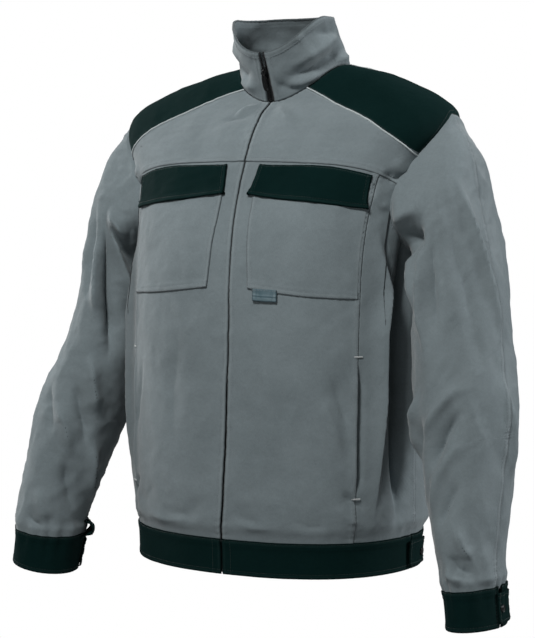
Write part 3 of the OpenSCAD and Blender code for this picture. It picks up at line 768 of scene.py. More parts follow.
# Shoulder panels.  Near-black twill over the shoulders, from the piping in
# front to the piping behind, sewn to the collar and to the sleeve head.
for side, hand in SIDES:
    a, t = armhole(np.linspace(68, -58, 11))
    lines = (points(a, t), points(np.linspace(37.5, 142.5, 9), 9.0), PIPE, PIPE_BACK)
    lines = mirrored(lines, side)
    panel = cloth("shoulder_panel_" + hand, body_cloth, lines, ("seam", "seam", "seam", "seam"),
                  [("bottom", 2.0), ("bottom", 7.0), ("left", 3.0), ("right", 3.0)], BLACK, side, lift=0.7)
    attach(panel, "body")
    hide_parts("shoulder_panel_" + hand)

# Piping.  A light grey cord wrapped in cloth stands up out of the seam
# between each shoulder panel and the yokes.
piping_cloth = woven("piping_cloth", (0.50, 0.55, 0.56), (0.32, 0.36, 0.37), (0.58, 0.62, 0.63),
                     pitch=0.6, slant=45, depth=0.12, rough=0.7, sheen=0.15, crumple=0.25)


def tube(p, radius, sides=10, squash=1.0):
    """A round cord: a circle of that radius carried along the points, with
    both ends drawn in to a closed tip."""
    run = np.concatenate([[0], np.cumsum(np.linalg.norm(np.diff(p, axis=0), axis=1))])
    forward = unit(np.gradient(p, axis=0))
    a = unit(np.cross(forward, np.array([0.3, -0.9, 0.2])))
    b = np.cross(forward, a)
    turn = np.linspace(0, 2 * np.pi, sides + 1)[:-1]
    r = radius * np.sqrt(np.clip(1 - (1 - np.minimum(run, run[-1] - run) / radius).clip(0)**2, 0.02, 1))
    ring = (a[:, None] * np.cos(turn)[None, :, None] * squash + b[:, None] * np.sin(turn)[None, :, None])
    grid = p[:, None] + ring * r[:, None, None]
    n, k = len(p), sides
    i, j = np.meshgrid(np.arange(n - 1), np.arange(k), indexing="ij")
    quads = np.stack([i * k + j, i * k + (j + 1) % k, (i + 1) * k + (j + 1) % k,
                      (i + 1) * k + j], -1).reshape(-1, 4)
    caps = []
    for base, order in ((0, -1), ((n - 1) * k, 1)):
        for q in range(1, k - 2, 2):
            caps.append([base, base + q, base + q + 1, base + q + 2][::order])
    quads = np.concatenate([quads, np.array(caps)])
    u = np.broadcast_to(turn[None] * radius, (n, k))
    v = np.broadcast_to(run[:, None], (n, k))
    return [grid.reshape(-1, 3), quads, np.stack([u, v], -1).reshape(-1, 2) / 1000, np.zeros(n * k), 0]


for side, hand in SIDES:
    for where, line in (("front", PIPE), ("back", PIPE_BACK)):
        q = along(line, np.linspace(0.005, 0.985, 150))
        a, t = side * q[:, 0], q[:, 1]
        base = body_cloth(a, t) + facing(body_form, a, t) * 1.15
        wobble = 0.12 * np.sin(np.linspace(0, 95, 150))[:, None] * facing(body_form, a, t)
        cord = piece(f"piping_{where}_{hand}_trim", [tube(base + wobble, 1.2)], [piping_cloth])
        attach(cord, "body")
        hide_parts(f"piping_{where}_{hand}")

# Collar.  A stand collar of grey twill, faced inside with the same
# cloth, turned at the top and stitched round 8 mm in.  It leans forward,
# and its soft layers buckle a little where they bend round the neck.
COLLAR_CREASES = [
    (-2.6, 7, 9, [(12, 0.62), (25, 0.36), (40, 0.29), (53, 0.25), (73, 0.24), (111, 0.38)]),
    (2.4, 7, 6, [(14, 0.30), (31, 0.17), (45, 0.10), (62, 0.02)]),
    (-1.6, 5, 5, [(6, 0.40), (14, 0.28), (24, 0.16), (36, 0.03)]),
    (1.9, 8, 8, [(22, 0.58), (45, 0.50), (70, 0.46), (104, 0.62)]),
    (1.6, 7, 6, [(70, 0.10), (92, 0.14), (118, 0.22)]),
    (-1.5, 7, 7, [(58, 0.80), (80, 0.66), (106, 0.78)]),
    (-2.2, 8, 8, [(-14, 0.60), (-30, 0.38), (-52, 0.30), (-80, 0.34)]),
    (2.0, 7, 7, [(-10, 0.34), (-26, 0.2), (-50, 0.08)]),
    (1.8, 9, 8, [(-40, 0.6), (-64, 0.5), (-96, 0.62)]),
    (-2.0, 9, 9, [(130, 0.34), (160, 0.44), (190, 0.36)]),
    (1.8, 9, 9, [(140, 0.14), (176, 0.24), (214, 0.12)]),
    (-2.0, 9, 9, [(200, 0.5), (228, 0.36), (258, 0.42)]),
]


def collar_form(a, u):
    """Undraped collar: each point of the neck seam slides up by u along a
    line that leans forward in front and less at the sides."""
    s, c = np.sin(np.radians(a)), np.cos(np.radians(a))
    rise = (np.maximum(c, 0)**2)[..., None] * np.array([0, -24, 64.0])
    rise = rise + (np.maximum(-c, 0)**2)[..., None] * np.array([0, -38, 60.0])
    side_rise = np.stack([-8 * np.sign(s), np.full_like(s, -36.0), np.full_like(s, 62.0)], -1)
    return body_form(a, 9.0) + np.asarray(u)[..., None] * (rise + (s * s)[..., None] * side_rise)


def collar_cloth(a, u):
    """The draped collar: creases and unevenness that grow from the seam."""
    a, u = np.broadcast_arrays(np.asarray(a, float), np.asarray(u, float))
    p = collar_form(a, u)
    lift = COLLAR_RISE * folds(a, u, COLLAR_CREASES, 1.35, np.array([0, 66.0]))
    lift = lift + (0.9 * ripple(p, 11, 60, 0.7) + 0.35 * ripple(p, 12, 24, 0.8)) * smooth(u / 0.25)
    return p + facing(collar_form, a, u) * lift[..., None]


span = np.linspace(0, 1, 25)
low = points(4.6 + (355.8 - 4.6) * span, 0.0)
high = points(3.2 + (357.4 - 3.2) * span, 1.0)
collar = cloth("collar", collar_cloth, (low, high, [(4.6, 0.0), (3.9, 0.6), (3.2, 1.0)],
                                        [(355.8, 0.0), (356.4, 0.6), (357.4, 1.0)]),
               ("seam", "hem", "hem", "hem"), [("top", 7.5), ("left", 7.5), ("right", 7.5)],
               [grey_twill, grey_twill, grey_thread], lift=0.9, thick=3.0, step=2.6, fine=0.9)
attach(collar, "body")
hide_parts("collar_outer", "collar_lining")

# Front facings and zip tapes.  Facings of lining cloth back each front
# edge, and a woven zip tape is sewn between facing and front, up to the
# top of the collar.
LINED = [lining_cloth, lining_cloth, black_thread]
zip_tape = woven("zip_tape_cloth", (0.016, 0.018, 0.019), (0.006, 0.007, 0.008), (0.03, 0.03, 0.03),
                 pitch=0.8, slant=20, depth=0.1, rough=0.6, sheen=0.1, crumple=0.15, gloss=0.4)
TAPE = [zip_tape, zip_tape, black_thread]
for side, hand in SIDES:
    t = np.linspace(1, 9, 13)
    wide = np.interp(t, [1, 5, 6.6, 8, 9], [14, 14, 17, 22, 29])
    lines = (points(np.linspace(0.4, 14, 3), 1.0), points(np.linspace(1.0, 29, 3), 9.0),
             points(0.4 + 0.6 * smooth((t - 6) / 3), t), points(wide, t))
    lines = off_front_edge(lines, side)
    facing_strip = cloth("front_facing_" + hand, body_cloth, lines, ("open", "open", "hem", "hem"),
                         [], LINED, side, lift=-2.4, step=5)
    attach(facing_strip, "body")
    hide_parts("front_facing_" + hand)
    t = np.linspace(0.04, 8.95, 13)
    lines = (points([0.25, 4.8], 0.04), points([1.2, 8.0], 8.95),
             points(0.25 + 0.95 * smooth((t - 5) / 4), t),
             points(4.8 + 3.2 * smooth((t - 5) / 4), t))
    lines = off_front_edge(lines, side)
    tape = cloth("zip_tape_" + hand, body_cloth, lines, ("open", "open", "open", "open"),
                 [], TAPE, side, lift=-5.4, thick=0.8, step=4)
    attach(tape, "body")
    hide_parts("zip_tape_" + hand)
    u = np.linspace(0.02, 0.96, 9)
    near = np.interp(u, [0, 0.62, 1], [1.0, 1.0, 2.0])
    lines = [points([1.0, 6.5], 0.02), points([2.0, 6.0], 0.96), points(near, u), points(6.3, u)]
    lines = mirrored(lines, side)
    tape = cloth("collar_tape_" + hand, collar_cloth, lines, ("open", "hem", "open", "open"),
                 [], TAPE, side, lift=-0.9, thick=0.8, step=3)
    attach(tape, "body")

# Zip.  Moulded black teeth, closed from the bottom stop up to the slider
# and open above it, on a chain that hides behind the front edges.
plastic = bpy.data.materials.new("moulded_teeth")
plastic.use_nodes = True
tree = plastic.node_tree
skin = tree.nodes["Principled BSDF"]
grain = add(tree, "TexNoise", {"Vector": add(tree, "TexCoord").outputs["Object"],
                               "Scale": 900.0, "Detail": 3.0}).outputs["Fac"]
tree.links.new(tint(tree, grain, (0.006, 0.006, 0.007), (0.028, 0.029, 0.031)), skin.inputs["Base Color"])
tree.links.new(add(tree, "MapRange", {"Value": grain, "To Min": 0.3, "To Max": 0.55}).outputs[0],
               skin.inputs["Roughness"])
tree.links.new(add(tree, "Bump", {"Height": grain, "Strength": 0.3, "Distance": 0.0001}).outputs[0],
               skin.inputs["Normal"])


def pebble(size, around=12, up=7, square=0.45):
    """A rounded block of that full size: a ball whose sine and cosine are
    raised to a power below one, which squares it off."""
    theta = np.linspace(0, 2 * np.pi, around + 1)[:-1]
    phi = np.linspace(-np.pi / 2, np.pi / 2, up)
    bend = lambda x, e: np.sign(x) * np.abs(x)**e
    ring = bend(np.cos(phi), square)
    grid = np.stack([ring[:, None] * bend(np.cos(theta), square),
                     ring[:, None] * bend(np.sin(theta), square),
                     np.broadcast_to(bend(np.sin(phi), square)[:, None], (up, around))], -1)
    grid = grid * np.array(size) / 2
    i, j = np.meshgrid(np.arange(up - 1), np.arange(around), indexing="ij")
    quads = np.stack([i * around + j, i * around + (j + 1) % around,
                      (i + 1) * around + (j + 1) % around, (i + 1) * around + j], -1).reshape(-1, 4)
    return grid.reshape(-1, 3), quads


def copies(shape, quads, places, axes):
    """Many copies of a shape: each is turned by its own three axes and
    moved to its own place."""
    p = np.einsum("kc,ncd->nkd", shape, axes) + places[:, None]
    q = quads[None] + len(shape) * np.arange(len(places))[:, None, None]
    flat = p.reshape(-1, 3)
    return [flat, q.reshape(-1, 4), flat[:, :2] / 1000, np.zeros(len(flat)), 0]


def frames_along(p, n):
    """At each point of a line: its sideways, outward and forward axes."""
    forward = unit(np.gradient(p, axis=0))
    sideways = unit(np.cross(n, forward))
    return np.stack([sideways, np.cross(forward, sideways), forward], 1)


def evenly(p, pitch, *others):
    """The points every pitch mm along a line, and what others hold there."""
    run = np.concatenate([[0], np.cumsum(np.linalg.norm(np.diff(p, axis=0), axis=1))])
    s = np.arange(0.5 * pitch, run[-1], pitch)
    return [np.stack([np.interp(s, run, q[:, k]) for k in range(3)], -1) for q in (p, *others)]


tooth, tooth_quads = pebble((2.9, 1.9, 1.35), 8, 5)
t = np.linspace(0.32, 8.97, 400)
centre = np.interp(t, FRONT_LINE[:, 0], FRONT_LINE[:, 1])
line = body_cloth(centre, t) - facing(body_form, centre, t) * 6.0
normal = facing(body_form, centre, t)
line, normal = evenly(line, 1.55, line * 0 + normal)
axes = frames_along(line, unit(normal))
shift = np.where(np.arange(len(line)) % 2, 0.75, -0.75)[:, None] * axes[:, 0]
chain = copies(tooth, tooth_quads, line + shift, axes)
u = np.linspace(0.02, 0.60, 60)
neck = collar_cloth(0 * u, u) + facing(collar_form, 0 * u, u) * 0.6
neck_out = facing(collar_form, 0 * u, u)
neck, neck_out = evenly(neck, 1.55, neck_out)
axes = frames_along(neck, unit(neck_out))
shift = np.where(np.arange(len(neck)) % 2, 0.75, -0.75)[:, None] * axes[:, 0]
zip_chain = piece("zip_chain_trim", [chain, copies(tooth, tooth_quads, neck + shift, axes)], [plastic])
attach(zip_chain, "body")
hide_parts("zip_chain")
for side, hand in SIDES:
    u = np.linspace(0.66, 1.02, 40)
    a = side * np.interp(u, [0.66, 0.74, 1.02], [0.8, 1.9, 2.3])
    line = collar_cloth(a, u) + facing(collar_form, a, u) * 0.6
    out = facing(collar_form, a, u)
    line, out = evenly(line, 3.1, out)
    open_teeth = piece("zip_teeth_" + hand + "_trim",
                       [copies(tooth, tooth_quads, line, frames_along(line, unit(out)))], [plastic])
    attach(open_teeth, "body")
    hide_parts("zip_teeth_" + hand)
low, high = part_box("zip_box")
block, quads = pebble((high[0] - low[0] - 0.0015, 0.0026, high[2] - low[2] - 0.001), 24, 13, 0.3)
pin, pin_quads = pebble((0.0016, 0.003, high[2] - low[2] + 0.004), 16, 9, 0.5)
middle = np.array((low + high) / 2)
stop = piece("zip_box_trim",
             [[(block + middle) * 1000, quads, block[:, :2], np.zeros(len(block)), 0],
              [(pin + middle + [0.0028, 0, 0.002]) * 1000, pin_quads, pin[:, :2],
               np.zeros(len(pin)), 0]], [plastic])
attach(stop, "body")
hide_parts("zip_box")

# Slider and pull.  Die-cast zinc in black enamel: two shield-shaped plates
# joined by a wedge, a lug on the front, and a long pull with a sunk middle
# that hangs from a pin through the lug.
enamel = bpy.data.materials.new("black_enamel")
enamel.use_nodes = True
tree = enamel.node_tree
skin = tree.nodes["Principled BSDF"]
worn = add(tree, "TexNoise", {"Vector": add(tree, "TexCoord").outputs["Object"],
                              "Scale": 420.0, "Detail": 5.0}).outputs["Fac"]
chip = add(tree, "MapRange", {"Value": worn, "From Min": 0.62, "From Max": 0.72}).outputs[0]
tree.links.new(tint(tree, chip, (0.012, 0.013, 0.014), (0.11, 0.115, 0.12)), skin.inputs["Base Color"])
tree.links.new(add(tree, "MapRange", {"Value": worn, "To Min": 0.24, "To Max": 0.46}).outputs[0],
               skin.inputs["Roughness"])
skin.inputs["Metallic"].default_value = 0.65
HINGE = np.array([0, -44.4966, -4.0742])      # the pin of the pull
tilt = np.arctan2(24, 64)
upright = np.array([[1, 0, 0], [0, np.cos(tilt), np.sin(tilt)], [0, -np.sin(tilt), np.cos(tilt)]])
slider_place = body_form(0.0, 9.0) + 0.62 * np.array([0, -24, 64.0])


def plate(width, thick, height, centre, waist=0.0, around=28):
    """A shield-shaped plate: a rounded block whose width narrows by the
    waist share towards its foot."""
    p, q = pebble((width, thick, height), around, 15, 0.38)
    p[:, 0] *= 1 - waist * smooth(0.5 - p[:, 2] / height)
    return p + np.array(centre), q


def placed(shapes, origin):
    """Shapes of the slider's own upright space, leaned with the collar."""
    return [[p @ upright + origin, q, p[:, [0, 2]] / 1000, np.zeros(len(p)), 0] for p, q in shapes]


lug = np.stack([0 * np.linspace(0, 1, 30), -2.4 - 2.35 * np.sin(np.linspace(0, np.pi, 30)),
                1.5 - 2.0 * np.cos(np.linspace(0, np.pi, 30))], -1)
lug_part = tube(lug, 0.62, 10, 1.7)
shapes = [plate(8, 1.3, 11, (0, -2.0, 0), 0.3), plate(8, 1.3, 11, (0, 2.0, 0), 0.3),
          plate(2.2, 4.6, 3.8, (0, 0, 2.6)), plate(1.0, 2.2, 9, (-3.4, -0.9, -0.3)),
          plate(1.0, 2.2, 9, (3.4, -0.9, -0.3)),
          (lug_part[0], lug_part[1])]
slider = piece("zip_slider_trim", placed(shapes, slider_place), [enamel])
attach(slider, "slider")
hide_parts("zip_slider")
bow = np.linspace(0, 2 * np.pi, 73)
stadium = np.stack([2.9 * np.sign(np.cos(bow)) * np.abs(np.cos(bow))**0.6, np.full(73, -3.0),
                    -15.0 + 10.6 * np.sign(np.sin(bow)) * np.abs(np.sin(bow))**0.75], -1)
frame_part = tube(stadium[:-1][np.r_[0:72, 0:2]], 0.72, 10, 1.0)
link_line = np.stack([np.interp(np.linspace(0, 1, 40), [0, 0.3, 0.5, 0.7, 1],
                                [-1.9, -2.5, -2.5, -2.3, -2.3]),
                      np.interp(np.linspace(0, 1, 40), [0, 0.5, 1], [-3.0, -2.6, 0.0]),
                      np.interp(np.linspace(0, 1, 40), [0, 0.5, 1], [-5.0, -1.5, 0.0])], -1)
link_part = tube(link_line, 0.6, 10)
other = link_line * np.array([-1, 1, 1])
other_part = tube(other[::-1], 0.6, 10)
pin_line = np.stack([np.linspace(-2.5, 2.5, 12), np.zeros(12), np.zeros(12)], -1)
shapes = [(frame_part[0], frame_part[1]), plate(4.6, 0.7, 19.5, (0, -3.0, -15.0)),
          (link_part[0], link_part[1]), (other_part[0], other_part[1]), tube(pin_line, 0.42, 8)[:2]]
pull = piece("zip_pull_trim", placed(shapes, HINGE), [enamel])
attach(pull, "pull")
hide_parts("zip_pull")

# Chest pockets.  Patch pockets of grey twill, sewn down on three sides and
# caught in the panel seam, with their mouths under the flaps.
for side, hand in SIDES:
    near = 0.0 if side == 1 else -1.6
    lines = ([(10.5 + near * 2.6, 4.46), (30, 4.36), (51.9, 4.31)],
             [(6.6 + near, 6.3), (30, 6.18), (51.9, 6.0)],
             [(10.5 + near * 2.6, 4.46), (7.6 + near * 1.5, 5.5), (6.6 + near, 6.3)],
             [(51.9, 4.31), (51.9, 5.2), (51.9, 6.0)])
    lines = mirrored(lines, side)
    pocket = cloth("chest_pocket_" + hand, body_cloth, lines, ("over", "hem", "over", "seam"),
                   [("bottom", 1.8), ("bottom", 6.5), ("left", 1.8), ("left", 6.5)], GREY, side,
                   lift=1.7, step=3.2,
                   extra=lambda a, t, u, v: (1.4 * smooth(u / 35) * smooth((145 - u) / 40)
                                             * smooth(v / 30) * smooth((6.1 - t) / 0.5)))
    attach(pocket, "body")
    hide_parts("chest_pocket_" + hand)

# Pocket flaps.  Double near-black twill, turned and stitched round the
# edge.  Each hangs from a seam just under the yoke and covers the mouth.
for side, hand in SIDES:
    near = 0.0 if side == 1 else -1.2
    lines = ([(5.6 + near, 6.0), (7, 5.97), (28, 5.79), (49.5, 5.58), (50.9, 5.58)],
             [(6.5 + near, 6.56), (28, 6.45), (49.5, 6.14)],
             [(5.6 + near, 6.0), (6.5 + near, 6.56)], [(50.9, 5.58), (49.5, 6.14)])
    lines = mirrored(lines, side)
    flap = cloth("pocket_flap_" + hand, body_cloth, lines, ("hem", "seam", "hem", "hem"),
                 [("bottom", 6.0), ("left", 6.0), ("right", 6.0), ("top", 3.0)], DOUBLE, side,
                 lift=3.6, thick=1.7,
                 step=2.6, fine=0.8,
                 extra=lambda a, t, u, v: (1.1 * np.exp(-(v / 9)**2)
                                           + 0.5 * np.sin(u / 11.0) * np.exp(-(v / 16)**2)))
    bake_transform(flap)
    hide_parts("pocket_flap_" + hand)

# Label tab.  A small woven tab, folded double and left blank, is caught in
# the lower edge of the wearer's left chest pocket.
tab_cloth = woven("label_cloth", (0.10, 0.17, 0.20), (0.03, 0.06, 0.075), (0.2, 0.26, 0.28),
                  pitch=0.5, slant=90, depth=0.06, rough=0.55, crumple=0.15, gloss=0.4)
label = cloth("pocket_label", body_cloth,
              ([(12.9, 4.30), (21.9, 4.28)], [(12.7, 4.455), (21.8, 4.435)],
               [(12.9, 4.30), (12.7, 4.455)], [(21.9, 4.28), (21.8, 4.435)]),
              ("hem", "open", "hem", "hem"), [("top", 1.5)], [tab_cloth, tab_cloth, grey_thread],
              lift=3.3, thick=0.9, step=1.2, fine=0.5)
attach(label, "body")
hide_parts("pocket_label")

# Hand pocket bags.  Lining cloth bags hang inside the fronts behind the
# slit mouths.
for side, hand in SIDES:
    lines = ([(18, 1.3), (51, 1.3)], [(24, 3.1), (51, 3.9)], [(18, 1.3), (20, 2.4), (24, 3.1)],
             [(51, 1.3), (51, 2.6), (51, 3.9)])
    lines = mirrored(lines, side)
    bag = cloth("hand_pocket_bag_" + hand, body_cloth, lines, ("seam", "seam", "seam", "seam"),
                [("bottom", 5), ("left", 5)], LINED, side, lift=-5.0, step=5)
    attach(bag, "body")
    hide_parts("hand_pocket_bag_" + hand)

# Bartacks.  Dense bars of pale thread lock both ends of each pocket mouth.
pale_thread = woven("pale_thread", (0.62, 0.65, 0.65), (0.42, 0.45, 0.45), (0.7, 0.72, 0.72),
                    pitch=0.4, slant=30, depth=0.08, rough=0.5, mottle=0.2, crumple=0.1)
for side, hand in SIDES:
    for where, t in (("upper", 3.67), ("lower", 2.14)):
        a = side * (SEAM + np.linspace(-1.7, 1.7, 30))
        out = facing(body_form, a, np.full(30, t))
        line = body_cloth(a, np.full(30, t)) + out * 1.25
        line, out = evenly(line, 0.42, out)
        axes = frames_along(line, unit(out))
        axes = axes[:, [2, 1, 0]] * np.array([1, 1, -1])[None, :, None]
        rod, rod_quads = pebble((0.5, 0.75, 2.3), 6, 7, 0.8)
        tack = piece(f"bartack_{where}_{hand}_trim", [copies(rod, rod_quads, line, axes)], [pale_thread])
        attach(tack, "body")
        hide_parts(f"bartack_{where}_{hand}")

# Sleeves.  Long straight sleeves in two halves, felled along the outer and
# inner seams.  The head is sewn into the armhole, the cloth folds at the
# armpit and at the bent elbow, and small pleats take it into the cuff.
SLEEVE = {
    1: np.array([  # outer line x, y, z; inner line x, y, z; fore-and-aft radius
        [240, 24, -62, 206, 14, -238, 62], [277, 16, -116, 211, 14, -264, 80],
        [303, 4, -210, 213, 2, -312, 82], [335, -14, -330, 214, -12, -372, 77],
        [358, -44, -460, 240, -44, -482, 68], [361, -80, -600, 281, -78, -612, 55],
        [362, -86, -640, 294, -86, -648, 50], [367, -92, -690, 300, -92, -696, 46]], float),
    -1: np.array([
        [240, 24, -62, 206, 14, -238, 62], [270, 14, -116, 211, 14, -264, 79],
        [285, 5, -210, 213, 2, -312, 80], [309, -12, -330, 214, -12, -372, 76],
        [349, -44, -455, 238, -44, -478, 68], [364, -80, -586, 274, -78, -600, 56],
        [366, -86, -624, 279, -86, -636, 51], [368, -92, -671, 286, -92, -688, 48]], float)}
SLEEVE_CREASES = {
    1: [
        (3.4, 7, 12, [(128, 0.16), (116, 0.42), (102, 0.68), (80, 1.1)]),
        (-4.0, 12, 8, [(136, 0.42), (122, 0.8), (106, 1.15), (92, 1.7)]),
        (3.0, 8, 10, [(150, 0.5), (132, 1.1), (118, 1.8), (112, 2.6)]),
        (-2.8, 10, 8, [(160, 0.9), (144, 1.7), (132, 2.6)]),
        (2.9, 6, 7, [(96, 1.2), (99, 1.9), (106, 2.6), (104, 3.2)]),
        (-2.2, 9, 8, [(78, 1.5), (84, 2.2), (88, 3.0)]),
        (3.0, 6, 7, [(42, 1.0), (30, 1.8), (20, 2.5), (12, 3.2)]),
        (-1.3, 12, 11, [(58, 1.2), (52, 2.0), (46, 2.8), (40, 3.4)]),
        (-3.0, 8, 10, [(58, 3.72), (74, 3.76), (92, 3.92), (116, 4.22)]),
        (2.4, 8, 7, [(54, 3.48), (76, 3.52), (100, 3.7), (124, 3.95)]),
        (2.3, 8, 8, [(60, 4.0), (80, 4.05), (104, 4.28), (126, 4.6)]),
        (-2.0, 9, 8, [(66, 4.3), (86, 4.42), (112, 4.68)]),
        (3.0, 8, 8, [(120, 3.4), (146, 3.75), (170, 4.2)]),
        (-3.4, 8, 8, [(118, 3.65), (144, 4.05), (172, 4.5)]),
        (2.2, 8, 9, [(86, 4.6), (70, 4.9), (52, 5.3)]),
        (-2.6, 7, 9, [(104, 4.95), (88, 5.12), (68, 5.24), (50, 5.3)]),
        (2.0, 8, 7, [(112, 5.2), (92, 5.36), (72, 5.5)]),
        (2.4, 9, 9, [(20, 3.4), (6, 3.9), (-6, 4.5)]),
        (3.2, 9, 12, [(236, 0.3), (250, 0.8), (262, 1.6), (266, 2.6)]),
        (-3.2, 10, 9, [(222, 0.5), (234, 1.1), (246, 2.0), (250, 3.0)]),
        (3.0, 10, 10, [(212, 1.0), (222, 2.0), (226, 3.2)]),
        (2.6, 9, 9, [(240, 3.4), (262, 3.7), (290, 3.8)]),
        (-2.8, 9, 9, [(236, 3.8), (262, 4.05), (292, 4.1)]),
        (2.4, 9, 9, [(238, 4.3), (262, 4.4), (288, 4.4)]),
        (1.8, 9, 9, [(300, 1.0), (310, 2.0), (316, 3.0)]),
    ],
    -1: [
        (6.5, 6, 11, [(90, 0.98), (103, 0.84), (116, 0.7), (134, 0.58)]),
        (5.5, 7, 10, [(96, 0.75), (112, 1.12), (130, 1.5), (150, 2.0), (160, 2.3)]),
        (-9.0, 14, 10, [(96, 0.95), (106, 1.5), (118, 2.2), (130, 2.9), (138, 3.4)]),
        (4.0, 9, 8, [(84, 1.5), (94, 2.2), (104, 2.9)]),
        (-3.0, 9, 9, [(66, 1.2), (74, 2.0), (80, 2.8)]),
        (2.4, 10, 9, [(44, 1.0), (54, 1.9), (58, 2.7)]),
        (4.4, 8, 8, [(106, 3.22), (120, 3.42), (136, 3.76), (150, 4.0)]),
        (-4.2, 8, 8, [(92, 3.5), (112, 3.74), (136, 4.1), (152, 4.4)]),
        (3.6, 8, 8, [(84, 3.86), (108, 4.05), (130, 4.4)]),
        (4.0, 8, 8, [(150, 4.2), (160, 4.36), (176, 4.66), (190, 4.9)]),
        (-3.2, 9, 8, [(118, 4.4), (140, 4.7), (164, 5.0)]),
        (2.6, 8, 9, [(96, 4.7), (112, 5.0), (130, 5.3)]),
        (-2.6, 8, 8, [(60, 3.7), (78, 3.95), (98, 4.25)]),
        (2.2, 9, 9, [(30, 3.4), (44, 3.9), (52, 4.5)]),
        (-2.2, 9, 8, [(80, 5.1), (100, 5.35), (122, 5.5)]),
        (3.0, 9, 12, [(236, 0.3), (252, 0.9), (262, 1.7), (268, 2.7)]),
        (-3.0, 10, 9, [(222, 0.6), (236, 1.3), (246, 2.2)]),
        (2.8, 9, 9, [(232, 3.5), (256, 3.75), (286, 3.9)]),
        (-2.8, 9, 9, [(236, 3.9), (260, 4.1), (288, 4.2)]),
        (2.0, 9, 9, [(304, 1.2), (314, 2.2), (318, 3.0)]),
    ]}
SLEEVE_RUN = np.array([0, -60, -155, -270, -400, -535, -577, -628.0])


def sleeve_forms(side):
    """The undraped and the draped surface of one sleeve, as functions of f
    (degrees from the outside towards the front) and t (row from armhole to
    cuff).  Each ring is an ellipse on the outer and inner lines; near the
    top it eases over to the armhole, and stands off the body underneath."""
    table = SLEEVE[side]
    mirror = np.array([side, 1, 1.0])

    def ring(row, f):
        outer, inner, radius = row[..., :3], row[..., 3:6], row[..., 6]
        s = np.sin(np.radians(f))
        return ((outer + inner) / 2 + (outer - inner) / 2 * np.cos(np.radians(f))[..., None]
                + np.stack([0 * s, -radius * s, 0 * s], -1))

    def form(f, t):
        f, t = np.broadcast_arrays(np.asarray(f, float), np.asarray(t, float))
        a, height = armhole(f)
        seam = body_cloth(side * a, height) * mirror
        seam = seam - (facing(body_form, side * a, height) * mirror
                       * (2.4 * (1 - smooth(t / 0.07)))[..., None])
        p = ring(rows_at(table, t), f)
        p = p + (seam - ring(table[0], f)) * (1 - smooth(t / 1.2))[..., None]
        off = (6 * smooth(t / 0.12) * (1 - smooth((t - 0.3) / 1.5))
               * np.sqrt(np.maximum(-np.cos(np.radians(f)), 0)))
        return (p + off[..., None] * np.stack([0 * f + 0.9, -0.5 * np.sin(np.radians(f)),
                                               0 * f], -1)) * mirror

    def draped(f, t):
        f, t = np.broadcast_arrays(np.asarray(f, float), np.asarray(t, float))
        p = form(f, t)
        lift = SLEEVE_RISE[side] * folds(f, t, SLEEVE_CREASES[side], 1.18, SLEEVE_RUN)
        lift = lift + 1.2 * ripple(p, 20 + side, 100, 2.5) - 1.5 * ridged(ripple(p, 30 + side, 62, 2.6))
        lift = (lift + 0.5 - 0.6 * ridged(ripple(p, 40 + side, 30, 1.4))
                + 0.18 * ripple(p, 50 + side, 14, 1.0))
        lift = lift * smooth(t / 0.3) * (0.18 + 0.82 * smooth((6.05 - t) / 0.5))
        lift = lift + 1.6 * np.exp(-((t - 0.16) / 0.1)**2) * smooth((np.cos(np.radians(f)) + 0.5) / 0.8)
        to_cuff = (6.0 - t) * 42
        pleat = np.sin(np.radians(f) * 13 + 2 * np.sin(np.radians(f) * 3))
        lift = lift + 1.2 * pleat * np.exp(-(to_cuff / 20)**2) + 2.2 * np.exp(-((to_cuff - 14) / 14)**2)
        return p + facing(form, f, t, side) * lift[..., None]

    return form, draped


SPLITS = {1: (6, 186), -1: (20, 215)}
SLEEVES = {side: sleeve_forms(side) for side, _ in SIDES}
for side, hand in SIDES:
    form, draped = SLEEVES[side]
    first, second = SPLITS[side]
    bow = 8 if side == 1 else 0
    for part, start, stop, above, below in (("upper_sleeve", 0.0, 4.0, "open", "open"),
                                            ("forearm", 4.0, 6.12, "open", "under")):
        t = np.linspace(start, stop, 9)
        outer_seam = first + bow * smooth((t - 1) / 4)
        for half, a0, a1, kinds in (("front", outer_seam, 0 * t + second, ("over", "over")),
                                    ("back", 0 * t + second - 4, outer_seam + 364, ("under", "under"))):
            lines = (points(np.linspace(a0[0], a1[0], 5), start),
                     points(np.linspace(a0[-1], a1[-1], 5), stop),
                     points(a0, t), points(a1, t))
            sleeve = cloth(f"{part}_{half}_{hand}", draped, lines, (above, below, *kinds),
                           [("left", 1.8), ("left", 6.5), ("right", 1.8), ("right", 6.5)]
                           if half == "front" else [],
                           GREY, side, step=3.0, lift=0.8 if half == "front" else 0.0)
            if part == "upper_sleeve":
                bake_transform(sleeve)
            else:
                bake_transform(sleeve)
            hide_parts(f"{part}_{half}_{hand}")

# Cuffs.  Folded near-black bands, slit so that a snap tab can tighten them.
# The slit is at the outside of the left wrist, and behind the right one.
VENT = {1: 6, -1: 215}
for side, hand in SIDES:
    draped = SLEEVES[side][1]
    v = VENT[side]
    around = np.linspace(v + 3, v + 357, 13)
    lines = (points(around, 6.0), points(around, 7.0), [(v + 3, 6.0), (v + 3, 7.0)],
             [(v + 357, 6.0), (v + 357, 7.0)])
    cuff = cloth("cuff_" + hand, draped, lines, ("over", "hem", "hem", "hem"),
                 [("bottom", 1.8), ("top", 5.5), ("left", 5.5), ("right", 5.5)], DOUBLE, side,
                 lift=1.5, thick=2.4, step=2.4)
    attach(cuff, "forearm_" + hand)
    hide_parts("cuff_" + hand)

# Snaps.  Small pressed caps in black enamel, turned on a ring of steps.


